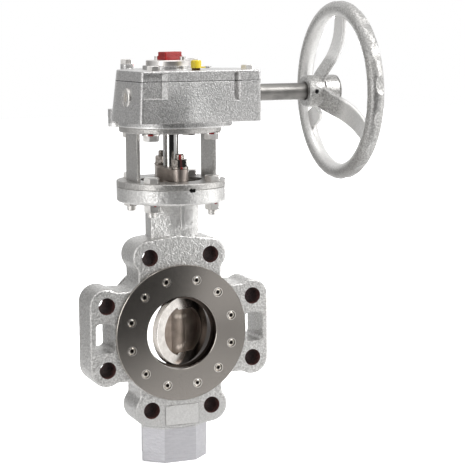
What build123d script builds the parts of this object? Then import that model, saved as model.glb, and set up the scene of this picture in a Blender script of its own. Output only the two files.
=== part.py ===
"""Triple offset butterfly valve, lug-wafer body, with a worm gearbox and a handwheel.

Millimetres. +Z runs up the stem and -Y faces the retainer ring. The origin is the centre
of the bore, half way between the two sealing faces.
"""
import os
from math import acos, atan2, cos, pi, radians, sin, sqrt, tan

from build123d import *

# Clearances between pieces
running_fit = 0.04
slide_fit = 0.1
screw_fit = 0.05
seal_gap = 0.15

# Pipe connection
face_to_face = 54.0
pipe_bolt_circle = 190.5
pipe_bolt_count = 8
pipe_bolt_hole = 19.0
raised_face_diameter = 156.7
raised_face_height = 3.5

# Seat, its retainer ring and the screws of the ring
ring_bore = 83.5
ring_spigot_diameter = 140.0
ring_spigot_length = 6.5
ring_screw_circle = 124.5
ring_screw_diameter = 5.0
ring_screw_length = 14.0
ring_screw_head = 8.5
ring_screw_recess = 9.6
ring_screw_angles = (15.0, 45.0, 73.0)
seat_outer = 108.0
seat_steel_thickness = 1.5
seat_graphite_thickness = 1.0
body_bore = 98.0

ring_screw_head_height = 5.2
ring_screw_sink = 0.7
ring_tapped_depth = 10.0
gasket_outer = 139.0
gasket_inner = 131.0
gasket_thickness = 1.0

# The three offsets of the disc
stem_shift = 1.5
seal_front = 15.0
seal_rear = 7.8
seal_depth = 11.0
seal_diameter = 82.0
near_cone_angle = 5.0
far_cone_angle = 25.0
disc_open = 24.0

# Disc
disc_recess_diameter = 58.0
disc_recess_depth = 6.5
disc_tab_height = 25.0
disc_tab_left = -8.5
disc_tab_right = 17.0
disc_tab_corner = 3.0
disc_plate_thickness = 5.0
disc_plate_diameter = 77.0
disc_hub_diameter = 27.0
disc_hub_length = 72.0
disc_plate_taper = 25.0
disc_rib_thickness = 7.0
disc_rib_height = 11.0
disc_rib_reach = 33.0
disc_pin_end = 11.0
disc_pin_diameter = 6.0
disc_pin_height = 23.0

# Stem and its bearings
stem_diameter = 18.0
stem_bottom = -118.0
stem_below_hub_top = 7.0
key_width = 6.0
key_height = 6.0
key_above_hub_bottom = 9.0
key_below_stem_top = 3.0
bearing_outer = 24.0
bearing_nose_outer = 20.0
bearing_nose_start = 43.6
bearing_nose_end = 56.0
bearing_end = 92.0

# Cast body
lug_radius = 19.5
vertical_lobe_waist = 50.0
side_lobe_waist = 52.0
lobe_crown = 112.5
lobe_crown_radius = 30.0
core_radius = 78.0
window_near = 79.0
window_far = 101.0
window_height = 34.0
window_corner = 5.0
valley_fillet = 8.0
casting_fillet = 3.0
neck_half_width = 28.5
neck_half_depth = 22.5
neck_front_flat = 19.0
neck_side_flat = 20.0
foot_half_width = 39.5
foot_half_depth = 21.5
foot_front_flat = 38.0
foot_side_flat = 4.0
foot_bottom = -152.0
foot_band_height = 11.0
foot_band_inset = 0.7
pad_edges = (-20.5, 20.3)
pad_heights = (-107.5, -84.0)
pad_corner = 3.0
pad_rise = 1.0
pad_draft = 30.0
top_flange_diameter = 125.0
top_flange_thickness = 16.5
top_flange_face = 166.2

# Stuffing box and gland
stuffing_box_diameter = 30.0
stuffing_box_floor = 112.0
packing_ring_count = 5
packing_ring_height = 6.0
packing_seam = 0.05
packing_washer_thickness = 2.0
gland_collar_diameter = 34.0
gland_collar_thickness = 3.0
gland_flange_bottom = 174.2
gland_flange_thickness = 14.0
gland_stud_spacing = 56.0
gland_stud_top = 204.5
gland_end_radius = 9.7
gland_middle_radius = 17.0

# Metric 10 fasteners
bolt_diameter = 10.0
bolt_hole = 11.0
hex_flats = 16.0
hex_head = 6.4
hex_nut = 8.4
washer_outer = 20.0
washer_thickness = 2.0
bolt_overrun = 6.0
stud_depth = 14.5
upper_bolt_bite = 6.0

# Bottom of the stem
plug_diameter = 30.0
plug_length = 17.5
plug_top = -123.5
plug_gasket_thickness = 1.5
plug_hex_flats = 14.0

# Bracket
bracket_bolt_circle = 102.0
lower_plate_thickness = 7.5
lower_plate_bore = 70.0
upper_plate_diameter = 117.5
bracket_height = 62.4
upper_plate_thickness = 6.1
upper_plate_bore = 55.0
post_thickness = 4.0
post_depth = 40.0
post_inner = 43.5

# Gearbox housing and cover
worm_above_plate = 37.1
gear_left = -58.8
gear_right = 84.0
worm_to_front = 20.0
gear_rear_radius = 67.0
gear_left_corner = 4.0
gear_right_corner = 3.0
gear_right_end = 8.0
gear_left_draft = 2.5
gear_rear_draft = 6.8
gear_base_diameter = 119.0
gear_base_reach = 12.0
gear_base_thickness = 6.4
gear_floor_thickness = 6.0
gear_boss_wall = 5.0
wheel_chamber_gap = 4.9
cover_joint_above_worm = 14.2
cover_gasket_thickness = 0.8
cover_thickness = 12.0
cover_bolt_diameter = 8.0
cover_bolt_flats = 13.0
cover_bolt_head = 5.5
cover_bolt_bite = 4.0
cover_front_bolts = [(-39.0, 11.2), (70.0, 7.5)]
cover_rear_bolts = [(-39.0, 41.0), (42.0, 41.0)]
cover_ear_radius = 7.5
cover_ear_depth = 22.0
cover_ear_rise = 5.5
pocket_depth = 6.0
pocket_skin = 2.5
pocket_below_joint = 18.0
pocket_edges = (-54.0, -31.2)
groove_below_joint = 21.2
groove_edges = (50.6, 55.0)
recess_slope = 5.0
rear_lug_place = (-49.0, 51.0)
rear_lug_diameter = 20.0
rear_lug_drop = 2.7
rear_lug_height = 20.0
side_plug_y = -25.5
side_plug_below_worm = 3.1
side_plug_diameter = 21.0
side_plug_depth = 7.0
side_plug_rise = 0.8

# Worm and wheel
gear_module = 1.6
wheel_tooth_count = 40
worm_pitch_radius = 10.0
wheel_face = 14.0
wheel_hub_diameter = 36.0
wheel_hub_skin = 2.0
wheel_hub_gap = 1.0
wheel_arc = 134.0
wheel_arc_middle = -111.0
wheel_first_tooth = -9
wheel_last_tooth = 4
tooth_backlash = 0.16
thread_turns = 7
bush_outer = 42.0
lower_bush_above_plate = 7.3
lower_bush_height = 16.0
stem_seal_diameter = 26.0
stem_seal_height = 6.0
stop_screw_reach = 25.0
stop_screw_tip = 11.5
stop_screw_end = 74.0
stop_face = 63.0

# Bearings of the worm shaft, measured along the shaft
handwheel_shaft_diameter = 19.0
shaft_left = -47.0
shaft_end = 184.5
journal_diameter = 13.0
inner_seat_diameter = 18.0
inner_seat_left = -48.0
worm_chamber_left = -34.0
worm_bore = 24.0
thrust_washer_thickness = 1.5
collar_left = 53.0
collar_thickness = 1.4
outer_bush_left = 56.0
outer_bush_right = 74.0
circlip_thickness = 1.5
circlip_groove = 25.6
shaft_seal_left = 76.0
shaft_seal_right = 83.0

# Handwheel
handwheel_diameter = 204.0
handwheel_plane = 189.0
rim_thickness = 18.5
handwheel_hub_face = 145.5
handwheel_hub_diameter = 36.0
handwheel_hub_length = 39.5
hub_bore_chamfer = 1.6
hub_groove_places = (18.5, 36.9)
hub_groove_width = 1.4
hub_groove_depth = 1.5
spoke_count = 3
spoke_width = 22.0
spoke_root_width = 29.0
spoke_thickness = 5.5
spoke_rounding = 1.8
spoke_turn = 3.0
spoke_profile = [
    (12.0, 160.0), (19.7, 164.0), (28.8, 170.3), (37.8, 176.4),
    (50.3, 182.2), (62.8, 185.3), (79.9, 186.3), (92.0, 186.4),
]
finger_count = 17
finger_radius = 34.0
finger_depth = 2.2
finger_lean = 15.0
handwheel_pin_diameter = 5.0
handwheel_pin_bore = 2.6
handwheel_pin_place = 153.0

# Position indicator
indicator_diameter = 54.5
indicator_thickness = 6.0
indicator_boss_diameter = 62.0
indicator_boss_height = 4.4
indicator_screw_circle = 41.0
indicator_screw_turn = 24.0
indicator_screw_diameter = 4.0
indicator_screw_head = 7.0
indicator_screw_bite = 4.0
drain_slot_width = 7.0
pointer_length = 26.4
pointer_width = 12.4
pointer_height = 9.0
pointer_foot_rim = 0.8
pointer_foot_height = 4.4
pointer_gap = 0.3
spindle_diameter = 12.0
spindle_gap = 1.0
seal_ring_diameter = 17.0
seal_ring_thickness = 2.5

# Grease nipple with its cap, and the vent plug
nipple_place = (11.0, -50.0)
nipple_diameter = 6.0
nipple_flats = 9.0
nipple_flats_height = 2.5
nipple_rise = 9.0
cap_diameter = 11.6
cap_bore_rise = 9.2
cap_height = 8.7
vent_place = (52.0, 20.0)
vent_diameter = 8.0
vent_rise = 2.0

# Heights and places worked out from the sizes above
half_face = face_to_face / 2
lug_face = half_face - raised_face_height
stem_x = -stem_shift
stem_radius = stem_diameter / 2
ring_rear = lug_face - ring_spigot_length
seat_thickness = 3 * seat_steel_thickness + 2 * seat_graphite_thickness
seat_rear = ring_rear - seat_thickness
lower_plate_top = top_flange_face + lower_plate_thickness
top_flange_bottom = top_flange_face - top_flange_thickness
upper_plate_bottom = top_flange_face + bracket_height
upper_plate_top = upper_plate_bottom + upper_plate_thickness
gear_base_top = upper_plate_top + gear_base_thickness
gear_floor = gear_base_top + gear_floor_thickness
worm_height = upper_plate_top + worm_above_plate
cover_bottom = worm_height + cover_joint_above_worm
cover_seat = cover_bottom + cover_gasket_thickness
cover_top = cover_bottom + cover_thickness
indicator_seat = cover_top + indicator_boss_height
lower_bush_bottom = upper_plate_top + lower_bush_above_plate
lower_bush_top = lower_bush_bottom + lower_bush_height
wheel_hub_bottom = lower_bush_bottom + wheel_hub_gap
wheel_hub_top = cover_top - wheel_hub_skin
stem_top = wheel_hub_top - stem_below_hub_top
key_bottom = wheel_hub_bottom + key_above_hub_bottom
key_length = stem_top - key_below_stem_top - key_bottom
wheel_pitch_radius = gear_module * wheel_tooth_count / 2
wheel_tip_radius = wheel_pitch_radius + gear_module
chamber_radius = wheel_tip_radius + wheel_chamber_gap
worm_y = -(worm_pitch_radius + wheel_pitch_radius)
gear_front = worm_y - worm_to_front
bracket_bolt_places = [
    (stem_x + bracket_bolt_circle / 2 * cos(radians(a)), bracket_bolt_circle / 2 * sin(radians(a)))
    for a in (45, 135, 225, 315)
]
gland_stud_places = [(stem_x, y) for y in (-gland_stud_spacing / 2, gland_stud_spacing / 2)]
ring_screw_directions = [
    side + sign * angle for side in (0, 180) for sign in (-1, 1) for angle in ring_screw_angles
]
ring_screw_places = [
    (ring_screw_circle / 2 * cos(radians(a)), ring_screw_circle / 2 * sin(radians(a)))
    for a in ring_screw_directions
]

# Planes that stay with the pipe, and planes that turn with the stem
stem_plan = Plane(origin=(stem_x, 0, 0), x_dir=(1, 0, 0), z_dir=(0, 0, 1))
stem_front = Plane(origin=(stem_x, 0, 0), x_dir=(1, 0, 0), z_dir=(0, -1, 0))
turned_x = (cos(radians(disc_open)), sin(radians(disc_open)), 0)
turned_plan = Plane(origin=(stem_x, 0, 0), x_dir=turned_x, z_dir=(0, 0, 1))
turned_front = Plane(origin=(stem_x, 0, 0), x_dir=turned_x, z_dir=(turned_x[1], -turned_x[0], 0))

os.makedirs("parts", exist_ok=True)


def save(part, name):
    part.label = name
    export_step(part, f"parts/{name}.step")


def tube(outer, inner, bottom, top, plan=stem_plan):
    """A plain sleeve, washer or disc about an upright axis."""
    with BuildPart() as sleeve:
        with BuildSketch(plan.offset(bottom)):
            Circle(outer / 2)
            if inner:
                Circle(inner / 2, mode=Mode.SUBTRACT)
        extrude(amount=top - bottom)
    return sleeve.part


def hexagon_block(flats, height, hole=0.0):
    """A bolt head or a nut that stands on z = 0, with its corners turned to a cone."""
    with BuildPart() as block:
        with BuildSketch():
            RegularPolygon(flats / 2, 6, major_radius=False)
            if hole:
                Circle(hole / 2, mode=Mode.SUBTRACT)
        extrude(amount=height)
        with BuildSketch(Plane.XZ):
            corner = flats / sqrt(3)
            with BuildLine():
                Polyline(
                    (flats / 2 * 0.95, height),
                    (corner + 1, height - (corner + 1 - flats / 2 * 0.95) * tan(radians(30))),
                    (corner + 1, height),
                    close=True,
                )
            make_face()
        revolve(axis=Axis.Z, mode=Mode.SUBTRACT)
    return block.part


def hexagon_bolt(length):
    """A bolt with its head above z = 0 and its shank below."""
    with BuildPart() as bolt:
        add(hexagon_block(hex_flats, hex_head))
        with BuildSketch(Plane.XY):
            Circle(bolt_diameter / 2)
        extrude(amount=-length)
        chamfer(bolt.edges().filter_by(GeomType.CIRCLE).sort_by(Axis.Z)[0], 0.8)
    return bolt.part


def at_places(part, places, height, upside_down=False):
    """The same piece set down at several places of one height."""
    turn = (180, 0, 0) if upside_down else (0, 0, 0)
    with BuildPart() as group:
        with Locations(*[Location((x, y, height), turn) for x, y in places]):
            add(part)
    return group.part


def seal_cone(plan, clearance=0.0):
    """The inclined cone of the third offset. Both the disc edge and the seat lie on it."""
    near = tan(radians(near_cone_angle))
    far = tan(radians(far_cone_angle))
    half_angle = (near_cone_angle + far_cone_angle) / 2
    tilt = radians((far_cone_angle - near_cone_angle) / 2)
    reach = seal_diameter / (near + far)
    apex = (stem_shift - seal_diameter / 2 + reach * near, -seal_depth - reach)
    grow = clearance / sin(radians(half_angle))
    apex = (apex[0] - grow * sin(tilt), apex[1] - grow * cos(tilt))
    length = reach + grow + 30
    radius = length * tan(radians(half_angle))
    base = (apex[0] + length * sin(tilt), apex[1] + length * cos(tilt))
    side = (base[0] + radius * cos(tilt), base[1] - radius * sin(tilt))
    start = plan.from_local_coords(Vector(*apex))
    end = plan.from_local_coords(Vector(*base))
    with BuildPart() as cone:
        with BuildSketch(plan):
            with BuildLine():
                Polyline(apex, base, side, close=True)
            make_face()
        revolve(axis=Axis(start, end - start))
    return cone.part


def elongated_octagon(half_width, half_depth, front_flat, side_flat, inset=0.0):
    """Corners of the faceted neck and foot."""
    a, b = front_flat / 2, side_flat / 2
    half_width, half_depth = half_width - inset, half_depth - inset
    return [
        (-a, -half_depth), (a, -half_depth), (half_width, -b), (half_width, b),
        (a, half_depth), (-a, half_depth), (-half_width, b), (-half_width, -b),
    ]


# Valve body casting
hole_along = pipe_bolt_circle / 2 * cos(pi / pipe_bolt_count)
hole_across = pipe_bolt_circle / 2 * sin(pi / pipe_bolt_count)
ear_side = hole_along + lug_radius


def crowned_lobe(side):
    """The outline of the upper or the lower pair of lugs, with its crown between them."""
    with BuildSketch() as lobe:
        with Locations((hole_across, side * hole_along), (-hole_across, side * hole_along)):
            Circle(lug_radius)
        with Locations((0, side * (lobe_crown - lobe_crown_radius))):
            Circle(lobe_crown_radius)
        make_hull()
    return lobe.sketch


with BuildPart() as body:
    with BuildSketch(Plane.XZ) as outline:
        Circle(core_radius)
        Rectangle(2 * vertical_lobe_waist, 2 * hole_along)
        Rectangle(2 * hole_along, 2 * side_lobe_waist)
        Rectangle(2 * ear_side, 2 * hole_across)
        add(crowned_lobe(1))
        add(crowned_lobe(-1))
        with PolarLocations(pipe_bolt_circle / 2, pipe_bolt_count, start_angle=180 / pipe_bolt_count):
            Circle(lug_radius)
        valleys = [v for v in outline.vertices() if Vector(v).length < pipe_bolt_circle / 2]
        fillet(valleys, valley_fillet)
    extrude(amount=lug_face, both=True)
    fillet(body.faces().filter_by(Axis.Y).edges(), casting_fillet)
    # Raised sealing face at the rear, neck, top flange and foot
    with BuildSketch(Plane.XZ.offset(-lug_face)):
        Circle(raised_face_diameter / 2)
    extrude(amount=-raised_face_height)
    with BuildSketch(stem_plan.offset(top_flange_bottom)):
        neck = elongated_octagon(neck_half_width, neck_half_depth, neck_front_flat, neck_side_flat)
        Polygon(*neck, align=None)
    extrude(amount=hole_along - top_flange_bottom)
    foot_sizes = (foot_half_width, foot_half_depth, foot_front_flat, foot_side_flat)
    with BuildSketch(stem_plan.offset(foot_bottom + foot_band_height)):
        Polygon(*elongated_octagon(*foot_sizes), align=None)
    extrude(amount=-hole_along - foot_bottom - foot_band_height)
    with BuildSketch(stem_plan.offset(foot_bottom)):
        Polygon(*elongated_octagon(*foot_sizes, foot_band_inset), align=None)
    extrude(amount=foot_band_height)
    # Bare raised pad on the lower lugs
    with BuildSketch(Plane.XZ.offset(lug_face)):
        with Locations((sum(pad_edges) / 2, sum(pad_heights) / 2)):
            pad_width = pad_edges[1] - pad_edges[0]
            RectangleRounded(pad_width, pad_heights[1] - pad_heights[0], pad_corner)
    extrude(amount=pad_rise, taper=pad_draft)
    with BuildSketch(stem_plan.offset(top_flange_bottom)):
        Circle(top_flange_diameter / 2)
    extrude(amount=top_flange_thickness)
    fillet(body.edges().filter_by(GeomType.CIRCLE).filter_by(
        lambda e: abs(e.radius - top_flange_diameter / 2) < 0.01).sort_by(Axis.Z)[0], casting_fillet)
    # Bore, seat recess and the recess of the ring's spigot
    with BuildSketch(Plane.XZ.offset(-half_face)):
        Circle(body_bore / 2)
    extrude(amount=face_to_face, mode=Mode.SUBTRACT)
    with BuildSketch(Plane.XZ.offset(seat_rear)):
        Circle(seat_outer / 2 + screw_fit)
    extrude(amount=face_to_face, mode=Mode.SUBTRACT)
    with BuildSketch(Plane.XZ.offset(ring_rear)):
        Circle(ring_spigot_diameter / 2 + slide_fit)
    extrude(amount=face_to_face, mode=Mode.SUBTRACT)
    with BuildSketch(Plane.XZ.offset(ring_rear - gasket_thickness)):
        Circle(gasket_outer / 2 + screw_fit)
        Circle(gasket_inner / 2 - screw_fit, mode=Mode.SUBTRACT)
    extrude(amount=gasket_thickness, mode=Mode.SUBTRACT)
    # Windows through the ears, and the pipe bolt holes
    with BuildSketch(Plane.XZ.offset(-half_face)):
        for side in (1, -1):
            with Locations((side * (window_near + window_far) / 2, 0)):
                RectangleRounded(window_far - window_near, window_height, window_corner)
        with PolarLocations(pipe_bolt_circle / 2, pipe_bolt_count, start_angle=180 / pipe_bolt_count):
            Circle(pipe_bolt_hole / 2)
    extrude(amount=face_to_face, mode=Mode.SUBTRACT)
    # Tapped holes of the ring screws
    with BuildSketch(Plane.XZ.offset(ring_rear)):
        with Locations(*ring_screw_places):
            Circle(ring_screw_diameter / 2 + screw_fit)
    extrude(amount=-ring_tapped_depth, mode=Mode.SUBTRACT)
    # Stem bore with its bearing seats, stuffing box and plug thread
    for radius, low, high in (
        (bearing_nose_outer / 2 + screw_fit, -bearing_nose_end, bearing_nose_end),
        (bearing_outer / 2 + screw_fit, bearing_nose_end, stuffing_box_floor),
        (stuffing_box_diameter / 2, stuffing_box_floor, top_flange_face),
        (bearing_outer / 2 + screw_fit, plug_top + plug_gasket_thickness, -bearing_nose_end),
        (plug_diameter / 2 + screw_fit, foot_bottom, plug_top + plug_gasket_thickness),
    ):
        with BuildSketch(stem_plan.offset(low)):
            Circle(radius)
        extrude(amount=high - low, mode=Mode.SUBTRACT)
    # Holes of the top flange
    with BuildSketch(Plane.XY.offset(top_flange_bottom)):
        with Locations(*bracket_bolt_places):
            Circle(bolt_hole / 2)
    extrude(amount=top_flange_thickness, mode=Mode.SUBTRACT)
    with BuildSketch(Plane.XY.offset(top_flange_face)):
        with Locations(*gland_stud_places):
            Circle(bolt_diameter / 2 + screw_fit)
    extrude(amount=-stud_depth, mode=Mode.SUBTRACT)
save(body.part, "valve_body")

# Retainer ring with counterbored holes
with BuildPart() as retainer_ring:
    with BuildSketch(Plane.XZ.offset(lug_face)):
        Circle(raised_face_diameter / 2)
    extrude(amount=raised_face_height)
    with BuildSketch(Plane.XZ.offset(ring_rear)):
        Circle(ring_spigot_diameter / 2)
    extrude(amount=ring_spigot_length)
    with BuildSketch(Plane.XZ.offset(ring_rear)):
        Circle(ring_bore / 2)
        with Locations(*ring_screw_places):
            Circle(ring_screw_diameter / 2 + slide_fit)
    extrude(amount=face_to_face, mode=Mode.SUBTRACT)
    with BuildSketch(Plane.XZ.offset(half_face)):
        with Locations(*ring_screw_places):
            Circle(ring_screw_recess / 2)
    extrude(amount=-ring_screw_head_height, mode=Mode.SUBTRACT)
    front_edges = retainer_ring.edges().filter_by(GeomType.CIRCLE).group_by(Axis.Y)[0]
    chamfer(front_edges.filter_by(lambda e: e.radius > ring_screw_recess), 0.7)
save(retainer_ring.part, "retainer_ring")

# Socket head screws of the retainer ring
ring_screw_seat = half_face - ring_screw_head_height
with BuildPart() as retainer_screws:
    with BuildSketch(Plane.XZ.offset(ring_screw_seat)):
        with Locations(*ring_screw_places):
            Circle(ring_screw_head / 2)
    extrude(amount=ring_screw_head_height - ring_screw_sink)
    with BuildSketch(Plane.XZ.offset(half_face)):
        with Locations(*ring_screw_places):
            RegularPolygon(ring_screw_diameter * 0.4, 6, major_radius=False)
    extrude(amount=-ring_screw_head_height * 0.6, mode=Mode.SUBTRACT)
    with BuildSketch(Plane.XZ.offset(ring_screw_seat)):
        with Locations(*ring_screw_places):
            Circle(ring_screw_diameter / 2)
    extrude(amount=-ring_screw_length)
save(retainer_screws.part, "retainer_screws")

with BuildPart() as retainer_gasket:
    with BuildSketch(Plane.XZ.offset(ring_rear - gasket_thickness)):
        Circle(gasket_outer / 2)
        Circle(gasket_inner / 2, mode=Mode.SUBTRACT)
    extrude(amount=gasket_thickness)
save(retainer_gasket.part, "retainer_gasket")


def seat_layers(depths, thickness, clearance):
    """Flat rings of the laminated seat, cut by the seal cone of the closed disc."""
    with BuildPart() as layers:
        for depth in depths:
            with BuildSketch(stem_front.offset(depth)):
                with Locations((stem_shift, 0)):
                    Circle(seat_outer / 2)
            extrude(amount=-thickness)
        add(seal_cone(stem_plan, clearance), mode=Mode.SUBTRACT)
    return layers.part


layer_step = seat_steel_thickness + seat_graphite_thickness
steel_depths = [ring_rear - i * layer_step for i in range(3)]
graphite_depths = [ring_rear - seat_steel_thickness - i * layer_step for i in range(2)]
save(seat_layers(steel_depths, seat_steel_thickness, seal_gap), "seat_steel_layers")
save(seat_layers(graphite_depths, seat_graphite_thickness, seal_gap + slide_fit), "seat_graphite_layers")

# Disc, turned with the stem. Two tabs of its front ring reach into the cast recess
tab_centre = ((disc_tab_left + disc_tab_right) / 2, disc_tab_height + disc_recess_diameter / 4)
disc_tabs = []
for side in (1, -1):
    with BuildSketch() as tab:
        with Locations((tab_centre[0], side * tab_centre[1])):
            RectangleRounded(disc_tab_right - disc_tab_left, disc_recess_diameter / 2, disc_tab_corner)
    disc_tabs.append(tab.sketch)

with BuildPart() as disc:
    add(seal_cone(turned_plan))
    split(bisect_by=turned_front.offset(seal_front), keep=Keep.BOTTOM)
    split(bisect_by=turned_front.offset(seal_rear), keep=Keep.TOP)
    with BuildSketch(turned_front.offset(seal_rear)):
        with Locations((stem_shift, 0)):
            Circle(disc_plate_diameter / 2)
    extrude(amount=-disc_plate_thickness, taper=disc_plate_taper)
    with BuildSketch(turned_front.offset(seal_front)):
        with Locations((stem_shift, 0)):
            Circle(disc_recess_diameter / 2)
            for tab in disc_tabs:
                add(tab, mode=Mode.SUBTRACT)
    extrude(amount=-disc_recess_depth, mode=Mode.SUBTRACT)
    with BuildSketch(turned_plan.offset(-disc_hub_length / 2)):
        Circle(disc_hub_diameter / 2)
    extrude(amount=disc_hub_length)
    rib_root = disc_plate_thickness - seal_rear
    for height in (-disc_rib_height, disc_rib_height):
        with BuildSketch(turned_plan.offset(height)):
            Polygon(
                (-disc_rib_reach, rib_root - 1), (disc_rib_reach, rib_root - 1),
                (disc_hub_diameter / 3, disc_hub_diameter / 3),
                (-disc_hub_diameter / 3, disc_hub_diameter / 3),
                align=None,
            )
        extrude(amount=disc_rib_thickness / 2, both=True)
    with BuildSketch(turned_plan):
        Circle(stem_radius + 0.02)
    extrude(amount=seal_diameter, both=True, mode=Mode.SUBTRACT)
    with BuildSketch(turned_front.offset(-disc_hub_diameter)):
        with Locations((0, disc_pin_height), (0, -disc_pin_height)):
            Circle(disc_pin_diameter / 2 + 0.02)
    extrude(amount=disc_hub_diameter + disc_pin_end, mode=Mode.SUBTRACT)
save(disc.part, "disc")

with BuildPart() as disc_pins:
    with BuildSketch(turned_front.offset(-disc_hub_diameter / 2)):
        with Locations((0, disc_pin_height), (0, -disc_pin_height)):
            Circle(disc_pin_diameter / 2)
    extrude(amount=disc_hub_diameter / 2 + disc_pin_end - slide_fit)
save(disc_pins.part, "disc_pins")

with BuildPart() as stem:
    with BuildSketch(turned_plan.offset(stem_bottom)):
        Circle(stem_radius)
    extrude(amount=stem_top - stem_bottom)
    chamfer(stem.edges().filter_by(GeomType.CIRCLE), 1.0)
    with BuildSketch(turned_front.offset(-disc_hub_diameter)):
        with Locations((0, disc_pin_height), (0, -disc_pin_height)):
            Circle(disc_pin_diameter / 2 + 0.02)
    extrude(amount=2 * disc_hub_diameter, mode=Mode.SUBTRACT)
    with BuildSketch(turned_plan.offset(key_bottom)):
        with Locations((0, stem_radius)):
            Rectangle(key_width + 2 * screw_fit, key_height)
    extrude(amount=key_length, mode=Mode.SUBTRACT)
save(stem.part, "stem")

# Bearings, thrust pad and plug
for name, side in (("upper_bearing", 1), ("lower_bearing", -1)):
    with BuildPart() as bearing:
        with BuildSketch(stem_plan.offset(side * bearing_nose_start)):
            Circle(bearing_nose_outer / 2)
        extrude(amount=side * (bearing_nose_end - bearing_nose_start))
        with BuildSketch(stem_plan.offset(side * bearing_nose_end)):
            Circle(bearing_outer / 2)
        extrude(amount=side * (bearing_end - bearing_nose_end))
        with BuildSketch(stem_plan.offset(side * bearing_nose_start)):
            Circle(stem_radius + running_fit)
        extrude(amount=side * (bearing_end - bearing_nose_start), mode=Mode.SUBTRACT)
    save(bearing.part, name)

plug_seat = plug_top + plug_gasket_thickness
save(tube(bearing_outer - slide_fit, 0, plug_top, stem_bottom - running_fit), "stem_thrust_pad")
save(tube(plug_diameter, bearing_outer + slide_fit, plug_top, plug_seat), "plug_gasket")
with BuildPart() as bottom_plug:
    with BuildSketch(stem_plan.offset(plug_top - plug_length)):
        Circle(plug_diameter / 2)
    extrude(amount=plug_length)
    with BuildSketch(stem_plan.offset(plug_top - plug_length)):
        RegularPolygon(plug_hex_flats / 2, 6, major_radius=False)
    extrude(amount=plug_length / 2, mode=Mode.SUBTRACT)
save(bottom_plug.part, "bottom_plug")

# Stuffing box and gland
packing_bottom = stuffing_box_floor + packing_washer_thickness
packing_top = packing_bottom + packing_ring_count * packing_ring_height
stem_clear = stem_diameter + 2 * slide_fit
washer_diameter = stuffing_box_diameter - slide_fit
save(tube(washer_diameter, stem_clear, stuffing_box_floor, packing_bottom), "packing_washer")
with BuildPart() as packing:
    for i in range(packing_ring_count):
        with BuildSketch(stem_plan.offset(packing_bottom + i * packing_ring_height)):
            Circle(stuffing_box_diameter / 2 - screw_fit)
            Circle(stem_radius + running_fit, mode=Mode.SUBTRACT)
        extrude(amount=packing_ring_height - packing_seam)
save(packing.part, "packing_rings")

with BuildPart() as gland_bush:
    with BuildSketch(stem_plan.offset(packing_top)):
        Circle(stuffing_box_diameter / 2 - slide_fit)
    extrude(amount=gland_flange_bottom - packing_top)
    with BuildSketch(stem_plan.offset(gland_flange_bottom)):
        Circle(gland_collar_diameter / 2)
    extrude(amount=-gland_collar_thickness)
    with BuildSketch(stem_plan.offset(packing_top)):
        Circle(stem_clear / 2)
    extrude(amount=gland_flange_bottom - packing_top, mode=Mode.SUBTRACT)
save(gland_bush.part, "gland_bush")

gland_flange_top = gland_flange_bottom + gland_flange_thickness
with BuildPart() as gland_flange:
    with BuildSketch(stem_plan.offset(gland_flange_bottom)):
        Circle(gland_middle_radius)
        with Locations((0, gland_stud_spacing / 2), (0, -gland_stud_spacing / 2)):
            Circle(gland_end_radius)
        make_hull()
    extrude(amount=gland_flange_thickness)
    with BuildSketch(stem_plan.offset(gland_flange_bottom)):
        Circle(stem_clear / 2 + slide_fit)
        with Locations((0, gland_stud_spacing / 2), (0, -gland_stud_spacing / 2)):
            Circle(bolt_hole / 2)
    extrude(amount=gland_flange_thickness, mode=Mode.SUBTRACT)
    chamfer(gland_flange.faces().sort_by(Axis.Z)[-1].outer_wire().edges(), 0.6)
save(gland_flange.part, "gland_flange")

stud_bottom = top_flange_face - stud_depth
with BuildPart() as gland_studs:
    with BuildSketch(Plane.XY.offset(stud_bottom)):
        with Locations(*gland_stud_places):
            Circle(bolt_diameter / 2)
    extrude(amount=gland_stud_top - stud_bottom)
    chamfer(gland_studs.edges().filter_by(GeomType.CIRCLE).group_by(Axis.Z)[-1], 1.0)
save(gland_studs.part, "gland_studs")

with BuildPart() as washer:
    with BuildSketch():
        Circle(washer_outer / 2)
        Circle(bolt_diameter / 2 + slide_fit, mode=Mode.SUBTRACT)
    extrude(amount=washer_thickness)
nut = hexagon_block(hex_flats, hex_nut, bolt_diameter + 2 * screw_fit)
save(at_places(washer.part, gland_stud_places, gland_flange_top), "gland_washers")
save(at_places(nut, gland_stud_places, gland_flange_top + washer_thickness), "gland_nuts")

# Bracket between the valve and the gearbox
for name, diameter, bottom, thickness, bore in (
    ("bracket_lower_plate", top_flange_diameter, top_flange_face,
     lower_plate_thickness, lower_plate_bore),
    ("bracket_upper_plate", upper_plate_diameter, upper_plate_bottom,
     upper_plate_thickness, upper_plate_bore),
):
    with BuildPart() as plate:
        with BuildSketch(stem_plan.offset(bottom)):
            Circle(diameter / 2)
            Circle(bore / 2, mode=Mode.SUBTRACT)
        extrude(amount=thickness)
        with BuildSketch(Plane.XY.offset(bottom)):
            with Locations(*bracket_bolt_places):
                Circle(bolt_hole / 2)
        extrude(amount=thickness, mode=Mode.SUBTRACT)
        circles = plate.edges().filter_by(GeomType.CIRCLE)
        chamfer(circles.filter_by(lambda e: abs(e.radius - diameter / 2) < 0.01), 0.8)
    save(plate.part, name)

for name, side in (("bracket_left_post", -1), ("bracket_right_post", 1)):
    with BuildPart() as post:
        with BuildSketch(stem_plan.offset(lower_plate_top)):
            with Locations((side * (post_inner + post_thickness / 2), 0)):
                Rectangle(post_thickness, post_depth)
        extrude(amount=upper_plate_bottom - lower_plate_top)
        fillet(post.edges().filter_by(Axis.Z), 1.0)
    save(post.part, name)

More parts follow.
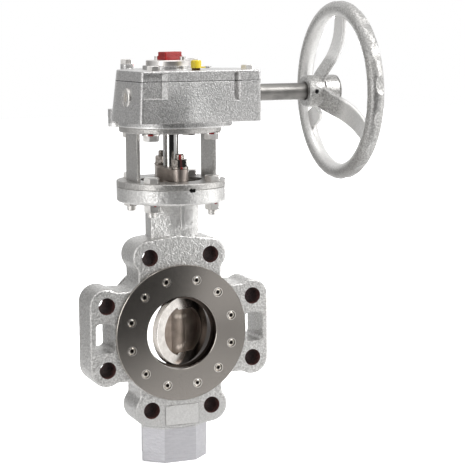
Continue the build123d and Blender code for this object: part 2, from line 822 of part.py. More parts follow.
lower_grip = lower_plate_thickness + top_flange_thickness
lower_bolt = hexagon_bolt(lower_grip + hex_nut + bolt_overrun)
save(at_places(lower_bolt, bracket_bolt_places, lower_plate_top), "bracket_bolts")
save(at_places(nut, bracket_bolt_places, top_flange_bottom, upside_down=True), "bracket_nuts")
upper_bolt_length = washer_thickness + upper_plate_thickness + gear_base_thickness + upper_bolt_bite
upper_bolt_seat = upper_plate_bottom - washer_thickness
save(at_places(washer.part, bracket_bolt_places, upper_bolt_seat), "gearbox_washers")
upper_bolt = hexagon_bolt(upper_bolt_length)
save(at_places(upper_bolt, bracket_bolt_places, upper_bolt_seat, True), "gearbox_bolts")


# Gearbox housing
slot_depth = indicator_boss_height - 1
indicator_screw_angle = radians(indicator_screw_turn)
indicator_screw_places = [
    (side * indicator_screw_circle / 2 * sin(indicator_screw_angle),
     -side * indicator_screw_circle / 2 * cos(indicator_screw_angle))
    for side in (1, -1)
]
cover_bolt_places = [(x, gear_front + y) for x, y in cover_front_bolts]
all_cover_bolts = [*cover_bolt_places, *cover_rear_bolts]
rear_lug_bottom = upper_plate_top - rear_lug_drop
stop_screw_sides = (stem_x - stop_screw_reach, stem_x + stop_screw_reach)
worm_place = (worm_y, worm_height)


def drafted_sizes(height):
    """Left end and rear radius of the gearbox, which narrow with height."""
    rise = height - gear_base_top
    left = gear_left + rise * tan(radians(gear_left_draft))
    return left, gear_rear_radius - rise * tan(radians(gear_rear_draft))


def left_wall(y, height):
    """Where the flat left wall, between the front corner and the round rear, stands at a point."""
    left, rear_radius = drafted_sizes(height)
    corner_x = left + gear_left_corner - stem_x
    corner_y = gear_front + gear_left_corner
    span = sqrt(corner_x**2 + corner_y**2)
    turn = atan2(corner_y, corner_x) - acos((rear_radius - gear_left_corner) / span)
    return stem_x + (rear_radius - y * sin(turn)) / cos(turn)


def gear_outline(height, inset=0.0):
    """Plan of the gearbox at a height: square along the worm, round about the stem at the rear."""
    left, rear_radius = drafted_sizes(height)
    right_centre = gear_right - gear_right_corner
    right_ends = (gear_front + gear_right_corner, gear_right_end - gear_right_corner)
    with BuildSketch(Plane.XY.offset(height)) as plan:
        with Locations((stem_x, 0)):
            Circle(rear_radius - inset)
        with Locations((left + gear_left_corner, gear_front + gear_left_corner)):
            Circle(gear_left_corner - inset)
        with Locations(*[(right_centre, y) for y in right_ends]):
            Circle(gear_right_corner - inset)
        make_hull()
    return plan.sketch


def front_recesses(top, whole=True):
    """The wide pocket and the narrow groove cast into the front, each with a sloping right side."""
    depths = (pocket_below_joint, groove_below_joint) if whole else (pocket_depth, pocket_depth)
    with BuildPart() as recesses:
        for (left, right), depth in zip((pocket_edges, groove_edges), depths):
            bottom = cover_bottom - depth
            slope = (right + recess_slope, gear_front)
            with BuildSketch(Plane.XY.offset(bottom)):
                Polygon(
                    (left, gear_front - pocket_depth), (left, gear_front + pocket_depth),
                    (right, gear_front + pocket_depth), slope,
                    (slope[0], gear_front - pocket_depth),
                    align=None,
                )
            extrude(amount=top - bottom)
        if whole:
            rear_edges = recesses.edges().group_by(Axis.Z)[0].filter_by(Axis.X).group_by(Axis.Y)[-1]
            fillet(rear_edges, 2.0)
    return recesses.part


side_plug_place = (side_plug_y, worm_height - side_plug_below_worm)
side_plug_seat = left_wall(*side_plug_place) + side_plug_depth - side_plug_rise
with BuildPart() as housing:
    add(gear_outline(gear_base_top))
    add(gear_outline(cover_bottom))
    loft(ruled=True)
    with BuildSketch(Plane.XY.offset(cover_bottom - cover_ear_depth)):
        with Locations(*cover_rear_bolts):
            Circle(cover_ear_radius)
    extrude(amount=cover_ear_depth)
    with BuildSketch(Plane.XY.offset(upper_plate_top)):
        with Locations((stem_x, 0), (stem_x + gear_base_reach, 0)):
            Circle(gear_base_diameter / 2)
        make_hull()
    extrude(amount=gear_base_thickness)
    with BuildSketch(Plane.XY.offset(rear_lug_bottom)):
        with Locations(rear_lug_place):
            Circle(rear_lug_diameter / 2)
    extrude(amount=rear_lug_height)
    with BuildSketch(Plane.XZ.offset(-stop_face)):
        with Locations(*[(x, worm_height) for x in stop_screw_sides]):
            Circle(cover_bolt_flats * 0.65)
    extrude(amount=stop_face - chamber_radius)
    add(front_recesses(cover_bottom), mode=Mode.SUBTRACT)
    # Chamber of the wheel about the seat of the lower bush
    with BuildSketch(stem_plan.offset(gear_floor)):
        Circle(chamber_radius)
        Circle(bush_outer / 2 + gear_boss_wall, mode=Mode.SUBTRACT)
    extrude(amount=cover_bottom - gear_floor, mode=Mode.SUBTRACT)
    for radius, bottom, top in (
        (bush_outer / 2 + gear_boss_wall, lower_bush_top, cover_bottom),
        (bush_outer / 2 + screw_fit, lower_bush_bottom, lower_bush_top),
        (stem_seal_diameter / 2 + screw_fit, rear_lug_bottom, lower_bush_bottom),
    ):
        with BuildSketch(stem_plan.offset(bottom)):
            Circle(radius)
        extrude(amount=top - bottom, mode=Mode.SUBTRACT)
    # Seats of the worm shaft, and the plug at the left
    for place, radius, left, right in (
        (worm_place, worm_bore / 2 + screw_fit, worm_chamber_left, gear_right),
        (worm_place, inner_seat_diameter / 2 + screw_fit, inner_seat_left, worm_chamber_left),
        (worm_place, circlip_groove / 2, outer_bush_right, outer_bush_right + circlip_thickness),
        (side_plug_place, side_plug_diameter / 2 + screw_fit, -2 * gear_rear_radius, side_plug_seat),
    ):
        with BuildSketch(Plane.YZ.offset(left)):
            with Locations(place):
                Circle(radius)
        extrude(amount=right - left, mode=Mode.SUBTRACT)
    # Tapped holes for the bracket bolts, the cover bolts and the stop screws
    with BuildSketch(Plane.XY.offset(upper_plate_top)):
        with Locations(*bracket_bolt_places):
            Circle(bolt_diameter / 2 + screw_fit)
    extrude(amount=gear_base_thickness + upper_bolt_bite + 1, mode=Mode.SUBTRACT)
    with BuildSketch(Plane.XY.offset(cover_bottom)):
        with Locations(*all_cover_bolts):
            Circle(cover_bolt_diameter / 2 + screw_fit)
    extrude(amount=-cover_bolt_bite - slide_fit, mode=Mode.SUBTRACT)
    with BuildSketch(Plane.XZ):
        with Locations(*[(x, worm_height) for x in stop_screw_sides]):
            Circle(cover_bolt_diameter / 2 + screw_fit)
    extrude(amount=-stop_face, mode=Mode.SUBTRACT)
save(housing.part, "gearbox_housing")

with BuildPart() as cover_gasket:
    add(gear_outline(cover_bottom, slide_fit))
    extrude(amount=cover_gasket_thickness)
    with BuildSketch(Plane.XY.offset(cover_bottom)):
        with Locations((stem_x, 0)):
            Circle(chamber_radius)
        with Locations(*all_cover_bolts):
            Circle(cover_bolt_diameter / 2 + slide_fit)
    extrude(amount=cover_gasket_thickness, mode=Mode.SUBTRACT)
    add(front_recesses(cover_top, False), mode=Mode.SUBTRACT)
save(cover_gasket.part, "cover_gasket")

with BuildPart() as cover:
    add(gear_outline(cover_seat))
    add(gear_outline(cover_top))
    loft(ruled=True)
    fillet(cover.faces().sort_by(Axis.Z)[-1].outer_wire().edges(), 1.2)
    with BuildSketch(Plane.XY.offset(cover_seat)):
        with Locations(*cover_rear_bolts):
            Circle(cover_ear_radius)
    extrude(amount=cover_top + cover_ear_rise - cover_seat)
    with BuildSketch(stem_plan.offset(cover_top)):
        Circle(indicator_boss_diameter / 2)
    extrude(amount=indicator_boss_height)
    add(front_recesses(cover_top - pocket_skin, False), mode=Mode.SUBTRACT)
    for radius, bottom, top in (
        (bush_outer / 2 + screw_fit, cover_seat, wheel_hub_top + 1),
        (spindle_diameter / 2 + 0.5, wheel_hub_top, indicator_seat),
        (seal_ring_diameter / 2 + screw_fit, indicator_seat - seal_ring_thickness, indicator_seat),
    ):
        with BuildSketch(stem_plan.offset(bottom)):
            Circle(radius)
        extrude(amount=top - bottom, mode=Mode.SUBTRACT)
    with BuildSketch(Plane.XY.offset(cover_seat)):
        with Locations(*all_cover_bolts):
            Circle(cover_bolt_diameter / 2 + slide_fit)
        with Locations(nipple_place):
            Circle(nipple_diameter / 2 + screw_fit)
        with Locations(vent_place):
            Circle(vent_diameter / 2 + screw_fit)
    extrude(amount=2 * cover_thickness, mode=Mode.SUBTRACT)
    with BuildSketch(stem_plan.offset(indicator_seat - slot_depth)):
        with Locations((0, -indicator_boss_diameter / 2)):
            Rectangle(drain_slot_width, 2 * slot_depth)
    extrude(amount=slot_depth, mode=Mode.SUBTRACT)
    with BuildSketch(stem_plan.offset(indicator_seat)):
        with Locations(*indicator_screw_places):
            Circle(indicator_screw_diameter / 2 + screw_fit)
    extrude(amount=-indicator_screw_bite, mode=Mode.SUBTRACT)
save(cover.part, "gearbox_cover")


def cover_bolt(shank):
    """A hexagon bolt of the cover, with its head above z = 0."""
    with BuildPart() as bolt:
        add(hexagon_block(cover_bolt_flats, cover_bolt_head))
        with BuildSketch():
            Circle(cover_bolt_diameter / 2)
        extrude(amount=-shank)
    return bolt.part


cover_shank = cover_thickness + cover_bolt_bite
with BuildPart() as cover_bolts:
    with Locations(*[(x, y, cover_top) for x, y in cover_bolt_places]):
        add(cover_bolt(cover_shank))
    with Locations(*[(x, y, cover_top + cover_ear_rise) for x, y in cover_rear_bolts]):
        add(cover_bolt(cover_shank + cover_ear_rise))
save(cover_bolts.part, "cover_bolts")

with BuildPart() as side_plug:
    with BuildSketch(Plane.YZ.offset(side_plug_seat)):
        with Locations(side_plug_place):
            Circle(side_plug_diameter / 2)
    extrude(amount=-side_plug_depth)
    chamfer(side_plug.edges().group_by(Axis.X)[0], 0.8)
    with BuildSketch(Plane.YZ.offset(side_plug_seat - side_plug_depth)):
        with Locations(side_plug_place):
            RegularPolygon(side_plug_diameter * 0.24, 6, major_radius=False)
    extrude(amount=side_plug_depth / 2, mode=Mode.SUBTRACT)
save(side_plug.part, "side_plug")

# Stop screws of the sector, with their lock nuts
with BuildPart() as stop_screws:
    with BuildSketch(Plane.XZ.offset(-stop_screw_tip)):
        with Locations(*[(x, worm_height) for x in stop_screw_sides]):
            Circle(cover_bolt_diameter / 2)
    extrude(amount=stop_screw_tip - stop_screw_end)
    with BuildSketch(Plane.XZ.offset(-stop_screw_end)):
        with Locations(*[(x, worm_height) for x in stop_screw_sides]):
            RegularPolygon(cover_bolt_diameter / 4, 6, major_radius=False)
    extrude(amount=cover_bolt_diameter / 2, mode=Mode.SUBTRACT)
save(stop_screws.part, "stop_screws")
lock_nut = hexagon_block(cover_bolt_flats, cover_bolt_head, cover_bolt_diameter + 2 * screw_fit)
with BuildPart() as stop_nuts:
    with Locations(*[Location((x, stop_face, worm_height), (-90, 0, 0)) for x in stop_screw_sides]):
        add(lock_nut)
save(stop_nuts.part, "stop_lock_nuts")

# Worm wheel, with its teeth standing about its own axis
wheel_root_radius = wheel_pitch_radius - 1.25 * gear_module
pressure_angle = radians(20)
base_radius = wheel_pitch_radius * cos(pressure_angle)
tooth_step = 360 / wheel_tooth_count
half_tooth = (pi * gear_module / 2 - tooth_backlash) / 2
tooth_lean = wheel_face / 2 * gear_module / (2 * worm_pitch_radius) / wheel_pitch_radius
wheel_bottom = worm_height - wheel_face / 2


def half_angle(radius):
    """Half the angle that a tooth with involute flanks fills at a radius."""
    roll = acos(min(1.0, base_radius / radius))
    return half_tooth / wheel_pitch_radius + tan(pressure_angle) - pressure_angle - tan(roll) + roll


def tooth_point(radius, side, lean):
    turn = -pi / 2 + lean + side * half_angle(radius)
    return (radius * cos(turn), radius * sin(turn))


flank_radii = (base_radius, wheel_pitch_radius, wheel_tip_radius)
with BuildPart() as tooth:
    for height, lean in ((wheel_bottom, tooth_lean), (wheel_bottom + wheel_face, -tooth_lean)):
        with BuildSketch(Plane.XY.offset(height)):
            with BuildLine():
                for side in (-1, 1):
                    ThreePointArc(*[tooth_point(r, side, lean) for r in flank_radii])
                Line(tooth_point(wheel_tip_radius, -1, lean), tooth_point(wheel_tip_radius, 1, lean))
                left, right = [tooth_point(base_radius, side, lean) for side in (-1, 1)]
                Polyline(
                    left, (left[0], left[1] + gear_module), (right[0], right[1] + gear_module), right)
            make_face()
    loft(ruled=True)

with BuildPart() as wheel:
    with BuildSketch(Plane.XY.offset(wheel_bottom)):
        with BuildLine():
            rim = CenterArc((0, 0), wheel_root_radius, wheel_arc_middle - wheel_arc / 2, wheel_arc)
            Polyline(rim @ 1, (0, 0), rim @ 0)
        make_face()
    extrude(amount=wheel_face)
    for i in range(wheel_first_tooth, wheel_last_tooth + 1):
        with Locations(Rotation(0, 0, i * tooth_step)):
            add(tooth.part)
    with BuildSketch(Plane.XY.offset(wheel_hub_bottom)):
        Circle(wheel_hub_diameter / 2)
    extrude(amount=wheel_hub_top - wheel_hub_bottom)
    with BuildSketch(Plane.XY.offset(wheel_hub_bottom)):
        Circle(stem_radius + running_fit / 2)
        with Locations(Rotation(0, 0, disc_open)):
            with Locations((0, stem_radius)):
                Rectangle(key_width + 2 * screw_fit, key_height + 2 * screw_fit)
    extrude(amount=wheel_hub_top - wheel_hub_bottom, mode=Mode.SUBTRACT)
save(stem_plan.location * wheel.part, "worm_wheel")

with BuildPart() as stem_key:
    with BuildSketch(turned_plan.offset(key_bottom + screw_fit)):
        with Locations((0, stem_radius)):
            Rectangle(key_width, key_height - 2 * screw_fit)
    extrude(amount=key_length - 2 * screw_fit)
save(stem_key.part, "stem_key")

bush_bore = wheel_hub_diameter + 2 * running_fit
washer_top = wheel_hub_bottom - screw_fit
stem_seal_bottom = lower_bush_bottom - stem_seal_height
save(tube(bush_outer, bush_bore, lower_bush_bottom, lower_bush_top), "lower_wheel_bush")
save(tube(bush_outer, bush_bore, cover_seat, wheel_hub_top - 1), "upper_wheel_bush")
save(
    tube(wheel_hub_diameter - slide_fit, stem_clear, lower_bush_bottom, washer_top),
    "wheel_thrust_washer",
)
save(
    tube(stem_seal_diameter, stem_diameter + 2 * running_fit, stem_seal_bottom, lower_bush_bottom),
    "stem_seal",
)

# Worm shaft, about its own axis: a left-hand thread, so that turning clockwise closes
worm_axis = Plane(origin=(0, worm_y, worm_height), x_dir=(0, 1, 0), z_dir=(1, 0, 0))
worm_root_radius = worm_pitch_radius - 1.25 * gear_module
thread_pitch = pi * gear_module
thread_length = thread_turns * thread_pitch
thread_start = stem_x - thread_length / 2
thread_end = stem_x + thread_length / 2
shaft_radius = handwheel_shaft_diameter / 2
journal_right = worm_chamber_left + thrust_washer_thickness + screw_fit
flank_lean = tan(pressure_angle)
thread_foot = worm_root_radius - worm_pitch_radius - 0.3
with BuildPart() as thread:
    with BuildLine():
        path = Helix(
            thread_pitch, thread_length, worm_pitch_radius, center=(0, 0, thread_start), lefthand=True)
    with BuildSketch(Plane(origin=path @ 0, x_dir=(1, 0, 0), z_dir=path % 0)):
        Polygon(
            (thread_foot, -half_tooth + thread_foot * flank_lean),
            (gear_module, -half_tooth + gear_module * flank_lean),
            (gear_module, half_tooth - gear_module * flank_lean),
            (thread_foot, half_tooth - thread_foot * flank_lean),
            align=None,
        )
    sweep(is_frenet=True)

shaft_steps = [
    (journal_diameter / 2, shaft_left, journal_right),
    (worm_root_radius, journal_right, thread_end + thread_pitch),
    (shaft_radius, thread_end + thread_pitch, shaft_end),
    (shaft_radius + 2, collar_left, collar_left + collar_thickness),
]
with BuildPart() as worm_shaft:
    for radius, left, right in shaft_steps:
        with BuildSketch(Plane.XY.offset(left)):
            Circle(radius)
        extrude(amount=right - left)
    chamfer(worm_shaft.faces().sort_by(Axis.Z)[-1].edges(), 1.5)
    add(thread.part)
    with BuildSketch(Plane.YZ):
        with Locations((0, handwheel_pin_place)):
            Circle(handwheel_pin_diameter / 2 + 0.02)
    extrude(amount=handwheel_shaft_diameter, both=True, mode=Mode.SUBTRACT)
save(worm_axis.location * worm_shaft.part, "worm_shaft")

journal_clear = journal_diameter + 2 * running_fit
shaft_clear = handwheel_shaft_diameter + 2 * running_fit
collar_right = collar_left + collar_thickness
for name, outer, inner, left, right in (
    ("worm_inner_bush", inner_seat_diameter, journal_clear, inner_seat_left + 0.5, worm_chamber_left),
    ("inner_thrust_washer", worm_bore - 2, journal_clear + slide_fit,
     worm_chamber_left, worm_chamber_left + thrust_washer_thickness),
    ("outer_thrust_washer", worm_bore - slide_fit, shaft_clear + slide_fit,
     collar_right + slide_fit, outer_bush_left),
    ("worm_outer_bush", worm_bore, shaft_clear, outer_bush_left, outer_bush_right),
    ("shaft_circlip", circlip_groove - slide_fit, worm_bore - 3,
     outer_bush_right, outer_bush_right + circlip_thickness),
    ("shaft_seal", worm_bore, shaft_clear, shaft_seal_left, shaft_seal_right),
):
    save(tube(outer, inner, left, right, worm_axis), name)

# Handwheel, about its own axis: rim with finger grips, dished spokes and hub
rim_radius = (handwheel_diameter - rim_thickness) / 2
finger_centre = rim_thickness / 2 + finger_radius - finger_depth
finger_out = (cos(radians(finger_lean)), 0, sin(radians(finger_lean)))
with BuildPart() as handwheel:
    with BuildSketch(Plane.XZ):
        with Locations((rim_radius, handwheel_plane)):
            Circle(rim_thickness / 2)
    revolve(axis=Axis.Z)
    rim_centre = Vector(rim_radius, 0, handwheel_plane)
    grip_origin = rim_centre + Vector(*finger_out) * finger_centre
    grip_plane = Plane(origin=grip_origin, x_dir=(0, 1, 0), z_dir=(-finger_out[2], 0, finger_out[0]))
    with BuildPart(mode=Mode.PRIVATE) as grip:
        with BuildSketch(grip_plane):
            Circle(finger_radius)
        extrude(amount=rim_thickness, both=True)
    with PolarLocations(0, finger_count, start_angle=90):
        add(grip.part, mode=Mode.SUBTRACT)
    with BuildSketch(Plane.XY.offset(handwheel_hub_face)):
        Circle(handwheel_hub_diameter / 2)
    extrude(amount=handwheel_hub_length)
    hub_edges = handwheel.edges().filter_by(GeomType.CIRCLE)
    chamfer(hub_edges.filter_by(lambda e: abs(e.radius - handwheel_hub_diameter / 2) < 0.01), 1.5)
    with BuildPart(mode=Mode.PRIVATE) as spoke:
        with BuildSketch(Plane.XZ):
            with BuildLine():
                near = Spline(*spoke_profile)
                far = Spline(*[(r, x + spoke_thickness) for r, x in spoke_profile])
                Line(near @ 0, far @ 0)
                Line(near @ 1, far @ 1)
            make_face()
        extrude(amount=spoke_root_width / 2, both=True)
        with BuildSketch(Plane.XY):
            Polygon(
                (0, -spoke_root_width / 2), (rim_radius, -spoke_width / 2),
                (rim_radius, spoke_width / 2), (0, spoke_root_width / 2),
                align=None,
            )
        extrude(amount=handwheel_plane + rim_thickness, mode=Mode.INTERSECT)
        long_edges = spoke.edges().filter_by(lambda e: e.length > 2 * spoke_root_width)
        fillet(long_edges, spoke_rounding)
    with PolarLocations(0, spoke_count, start_angle=90 + spoke_turn):
        add(spoke.part)
    for place in hub_groove_places:
        with BuildSketch(Plane.XY.offset(handwheel_hub_face + place)):
            Circle(handwheel_hub_diameter / 2)
            Circle(handwheel_hub_diameter / 2 - hub_groove_depth, mode=Mode.SUBTRACT)
        extrude(amount=hub_groove_width, mode=Mode.SUBTRACT)
    with BuildSketch(Plane.XY.offset(handwheel_hub_face)):
        Circle(shaft_radius + running_fit / 2)
    extrude(amount=2 * handwheel_hub_length, mode=Mode.SUBTRACT)
    bore_edges = handwheel.edges().filter_by(GeomType.CIRCLE).group_by(Axis.Z)[0]
    chamfer(bore_edges.sort_by(SortBy.RADIUS)[0], hub_bore_chamfer)
    with BuildSketch(Plane.YZ):
        with Locations((0, handwheel_pin_place)):
            Circle(handwheel_pin_diameter / 2 + 0.02)
    extrude(amount=handwheel_hub_diameter, both=True, mode=Mode.SUBTRACT)
save(worm_axis.location * handwheel.part, "handwheel")

with BuildPart() as handwheel_pin:
    with BuildSketch(Plane.YZ):
        with Locations((0, handwheel_pin_place)):
            Circle(handwheel_pin_diameter / 2)
            Circle(handwheel_pin_bore / 2, mode=Mode.SUBTRACT)
    extrude(amount=handwheel_hub_diameter / 2 - slide_fit, both=True)
save(worm_axis.location * handwheel_pin.part, "handwheel_pin")

# Position indicator on the cover
pointer_bottom = indicator_seat + indicator_thickness + pointer_gap
spindle_clear = spindle_diameter + 2 * running_fit
seal_ring_bottom = indicator_seat - seal_ring_thickness
save(tube(seal_ring_diameter, spindle_clear, seal_ring_bottom, indicator_seat), "indicator_seal")
with BuildPart() as indicator_base:
    with BuildSketch(stem_plan.offset(indicator_seat)):
        Circle(indicator_diameter / 2)
    extrude(amount=indicator_thickness)
    chamfer(indicator_base.edges().group_by(Axis.Z)[-1], 0.8)
    with BuildSketch(stem_plan.offset(indicator_seat)):
        Circle(spindle_diameter / 2 + slide_fit)
        with Locations(*indicator_screw_places):
            Circle(indicator_screw_diameter / 2 + slide_fit)
    extrude(amount=indicator_thickness, mode=Mode.SUBTRACT)
save(indicator_base.part, "indicator_base")

screw_seat = indicator_seat + indicator_thickness
with BuildPart() as indicator_screws:
    with BuildSketch(stem_plan.offset(screw_seat)):
        with Locations(*indicator_screw_places):
            Circle(indicator_screw_head / 2)
    extrude(amount=indicator_screw_diameter)
    with BuildSketch(stem_plan.offset(screw_seat + indicator_screw_diameter)):
        with Locations(*indicator_screw_places):
            RegularPolygon(indicator_screw_diameter * 0.4, 6, major_radius=False)
    extrude(amount=-indicator_screw_diameter / 2, mode=Mode.SUBTRACT)
    with BuildSketch(stem_plan.offset(screw_seat)):
        with Locations(*indicator_screw_places):
            Circle(indicator_screw_diameter / 2)
    extrude(amount=indicator_seat - indicator_screw_bite + slide_fit - screw_seat)
save(indicator_screws.part, "indicator_screws")

spindle_foot = stem_top + spindle_gap
with BuildPart() as pointer:
    with BuildSketch(turned_plan.offset(pointer_bottom)):
        RectangleRounded(pointer_length, pointer_width, 1.5)
    extrude(amount=pointer_height)
    fillet(pointer.faces().sort_by(Axis.Z)[-1].edges(), 1.0)
    with BuildSketch(turned_plan.offset(pointer_bottom)):
        foot_length = pointer_length + 2 * pointer_foot_rim
        RectangleRounded(foot_length, pointer_width + 2 * pointer_foot_rim, 2.0)
    extrude(amount=pointer_foot_height)
    with BuildSketch(turned_plan.offset(pointer_bottom)):
        Circle(spindle_diameter / 2)
    extrude(amount=wheel_hub_top - 0.5 - pointer_bottom)
    with BuildSketch(turned_plan.offset(spindle_foot)):
        Circle(stem_radius - running_fit / 2)
        with Locations((0, stem_radius)):
            Rectangle(key_width - slide_fit, key_height - slide_fit)
    extrude(amount=wheel_hub_top - slide_fit - spindle_foot)
save(pointer.part, "indicator_pointer")

# Grease nipple and its cap, and the vent plug
nipple_plan = Plane(origin=(*nipple_place, cover_top))
with BuildPart() as grease_nipple:
    with BuildSketch(nipple_plan.offset(-cover_thickness / 2)):
        Circle(nipple_diameter / 2)
    extrude(amount=cover_thickness / 2 + nipple_rise)
    fillet(grease_nipple.edges().group_by(Axis.Z)[-1], 1.2)
    with BuildSketch(nipple_plan):
        RegularPolygon(nipple_flats / 2, 6, major_radius=False)
    extrude(amount=nipple_flats_height)
save(grease_nipple.part, "grease_nipple")

cap_bottom = nipple_flats_height + slide_fit
with BuildPart() as grease_cap:
    with BuildSketch(nipple_plan.offset(cap_bottom)):
        Circle(cap_diameter / 2)
    extrude(amount=cap_height)
    fillet(grease_cap.edges().group_by(Axis.Z)[-1], 1.8)
    with BuildSketch(nipple_plan.offset(cap_bottom)):
        with Locations((cap_diameter / 2, 0)):
            SlotCenterToCenter(5.0, 5.0)
        with Locations((cap_diameter / 2 + 2.5, 0)):
            Circle(1.2, mode=Mode.SUBTRACT)
    extrude(amount=1.4)
    with BuildSketch(nipple_plan.offset(cap_bottom)):
        Circle(nipple_diameter / 2 + running_fit)
    extrude(amount=cap_bore_rise - cap_bottom, mode=Mode.SUBTRACT)
save(grease_cap.part, "grease_cap")

with BuildPart() as vent_plug:
    with BuildSketch(Plane(origin=(*vent_place, cover_top + vent_rise))):
        Circle(vent_diameter / 2)
        RegularPolygon(vent_diameter * 0.3, 6, major_radius=False, mode=Mode.SUBTRACT)
    extrude(amount=-vent_rise - 2)
    with BuildSketch(Plane(origin=(*vent_place, cover_top - 2))):
        Circle(vent_diameter / 2)
    extrude(amount=-cover_thickness / 3)
save(vent_plug.part, "vent_plug")
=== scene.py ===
"""Looks of a gear-operated triple offset butterfly valve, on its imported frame. Metres."""

from math import cos, pi, radians, sin

import bpy
from mathutils import Matrix, Vector
from mathutils.noise import fractal


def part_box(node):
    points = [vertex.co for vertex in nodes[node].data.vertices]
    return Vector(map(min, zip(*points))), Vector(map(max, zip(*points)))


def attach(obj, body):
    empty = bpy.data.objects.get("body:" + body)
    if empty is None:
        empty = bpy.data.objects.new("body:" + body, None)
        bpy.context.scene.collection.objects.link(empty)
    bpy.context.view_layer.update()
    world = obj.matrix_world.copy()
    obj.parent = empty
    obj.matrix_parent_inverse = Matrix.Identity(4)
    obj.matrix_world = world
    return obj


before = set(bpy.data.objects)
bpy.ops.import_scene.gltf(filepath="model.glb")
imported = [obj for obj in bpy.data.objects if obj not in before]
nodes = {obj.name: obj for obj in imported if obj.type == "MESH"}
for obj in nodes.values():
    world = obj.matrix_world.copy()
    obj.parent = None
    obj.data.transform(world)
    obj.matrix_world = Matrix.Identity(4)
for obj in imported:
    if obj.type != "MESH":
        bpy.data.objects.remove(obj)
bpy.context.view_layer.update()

# Sizes of this valve, in metres
MM = 0.001
STEM_X = -1.5 * MM

# Body: radii of its turned seats, and the heights and faces of what is cast on it
PIPE_CIRCLE = 95.25 * MM
PIPE_HOLE = 9.5 * MM
TURNED_BORE = 72.0 * MM
REAR_FACE_RADIUS = 79.0 * MM
REAR_FACE_Y = 26.8 * MM
FOOT_TOP = -110.0 * MM
LOWER_LOBE_TOP = -74.0 * MM
LIGHTER_ABOVE = 70.0 * MM
NECK_BOTTOM = 118.0 * MM
PAD_Y = -20.0 * MM
PAD_MIDDLE = -95.75 * MM
PAD_HALF_WIDTH = 20.4 * MM
PAD_HALF_HEIGHT = 11.75 * MM
NECK_PANEL_Y = -23.5 * MM
NECK_PANEL_BOTTOM = 100.0 * MM
NECK_PANEL_TOP = 150.3 * MM

# Gearbox flange, and the handwheel about its shaft
GEAR_FLANGE_TOP = 236.5 * MM
SHAFT_Y = -42.0 * MM
SHAFT_Z = 271.8 * MM
SPOKES_FROM = 34.0 * MM
SPOKES_TO = 92.0 * MM
RIM_FROM = 90.0 * MM
LOW_RIM_TOP = 212.0 * MM

# Retainer ring and its screws
RING_BORE = 41.9 * MM
SCREW_CIRCLE = 62.25 * MM
SCREW_ANGLES = [radians(15), radians(45), radians(73)]
SCREW_CHAMFER = 5.6 * MM
SCREW_COUNTERBORE = 4.85 * MM
SCREW_HEAD = 4.35 * MM
SCREW_SOCKET = 2.3 * MM

# Disc, seen square on: how far its face stands ahead of the stem, and its radii
DISC_OPEN = radians(24)
DISC_FACE = 14.6 * MM
DISC_RECESS = 38.0 * MM
DISC_EDGE = 39.9 * MM

# Gland: its front nut, and the stripe of paint down it
GLAND_NUT_LOW = 190.1 * MM
GLAND_NUT_HIGH = 198.8 * MM
GLAND_NUT_FRONT = -35.4 * MM
GLAND_STRIPE_X = -2.7 * MM
GLAND_STRIPE_Y = -31.5 * MM
GLAND_STRIPE_HALF_WIDTH = 2.3 * MM

# Share of metal in the enamel's pigment
PIGMENT_METAL = 0.75


def per_mm(size):
    """Texture scale that makes one feature this many millimetres wide."""
    return 1000.0 / size


def tint(hex_value):
    """An sRGB hex colour as the linear colour that a shader takes."""
    channels = [int(hex_value[i:i + 2], 16) / 255 for i in (1, 3, 5)]
    linear = [c / 12.92 if c <= 0.04045 else ((c + 0.055) / 1.055) ** 2.4 for c in channels]
    return (*linear, 1.0)


def grey(level):
    """A linear grey, for a ramp that carries a number."""
    return (level, level, level, 1.0)


def add(tree, kind, *values, sockets=None, stops=(), output=0, **settings):
    """A node with its settings and links. Its inputs come in their order, or by name or number
    in sockets, and each is a value or the output that it is linked to. Stops are the places and
    colours of a ramp. Gives back one output, or several where output is a slice."""
    made = tree.nodes.new(f"ShaderNode{kind}")
    for name, value in settings.items():
        setattr(made, name, value)
    for socket, value in (*enumerate(values), *(sockets or {}).items()):
        if isinstance(value, bpy.types.NodeSocket):
            tree.links.new(value, made.inputs[socket])
        else:
            made.inputs[socket].default_value = value
    while stops and len(made.color_ramp.elements) < len(stops):
        made.color_ramp.elements.new(0.5)
    for index, (position, colour) in enumerate(stops):
        element = made.color_ramp.elements[index]
        element.position, element.color = position, colour
    return made.outputs[output] if made.outputs else None


def new_material(name):
    """An empty material, with its tree and the position on the object."""
    material = bpy.data.materials.new(name)
    material.use_nodes = True
    tree = material.node_tree
    tree.nodes.clear()
    return material, tree, add(tree, "TexCoord", output="Object")


def surface(tree, **values):
    """The surface of a material; an underscore in a socket's name stands for a space."""
    named = {name.replace("_", " "): value for name, value in values.items()}
    add(tree, "OutputMaterial", add(tree, "BsdfPrincipled", sockets=named))


def mottled(tree, place, size_mm, dark, light, detail=2.0, edges=(0.3, 0.7)):
    """Soft patches of this size, from one hex colour to another."""
    patches = add(tree, "TexNoise", place, sockets={"Scale": per_mm(size_mm), "Detail": detail})
    return add(tree, "ValToRGB", patches, stops=[(edges[0], tint(dark)), (edges[1], tint(light))])


def laid_over(tree, tone, colour, mask, strength=1.0):
    """A colour laid over a tone where a mask is 1, as thick as its strength."""
    share = add(tree, "Math", mask, strength, operation="MULTIPLY")
    return add(tree, "Mix", share, sockets={6: tone, 7: colour}, output=2, data_type="RGBA")


def dent(tree, height, depth_mm, strength=1.0, rounding_mm=0.0):
    """Relief of this depth, over edges that catch the light as if rounded."""
    sockets = {"Height": height, "Distance": depth_mm * MM, "Strength": strength}
    if rounding_mm:
        sockets["Normal"] = add(tree, "Bevel", rounding_mm * MM, samples=4)
    return add(tree, "Bump", sockets=sockets)


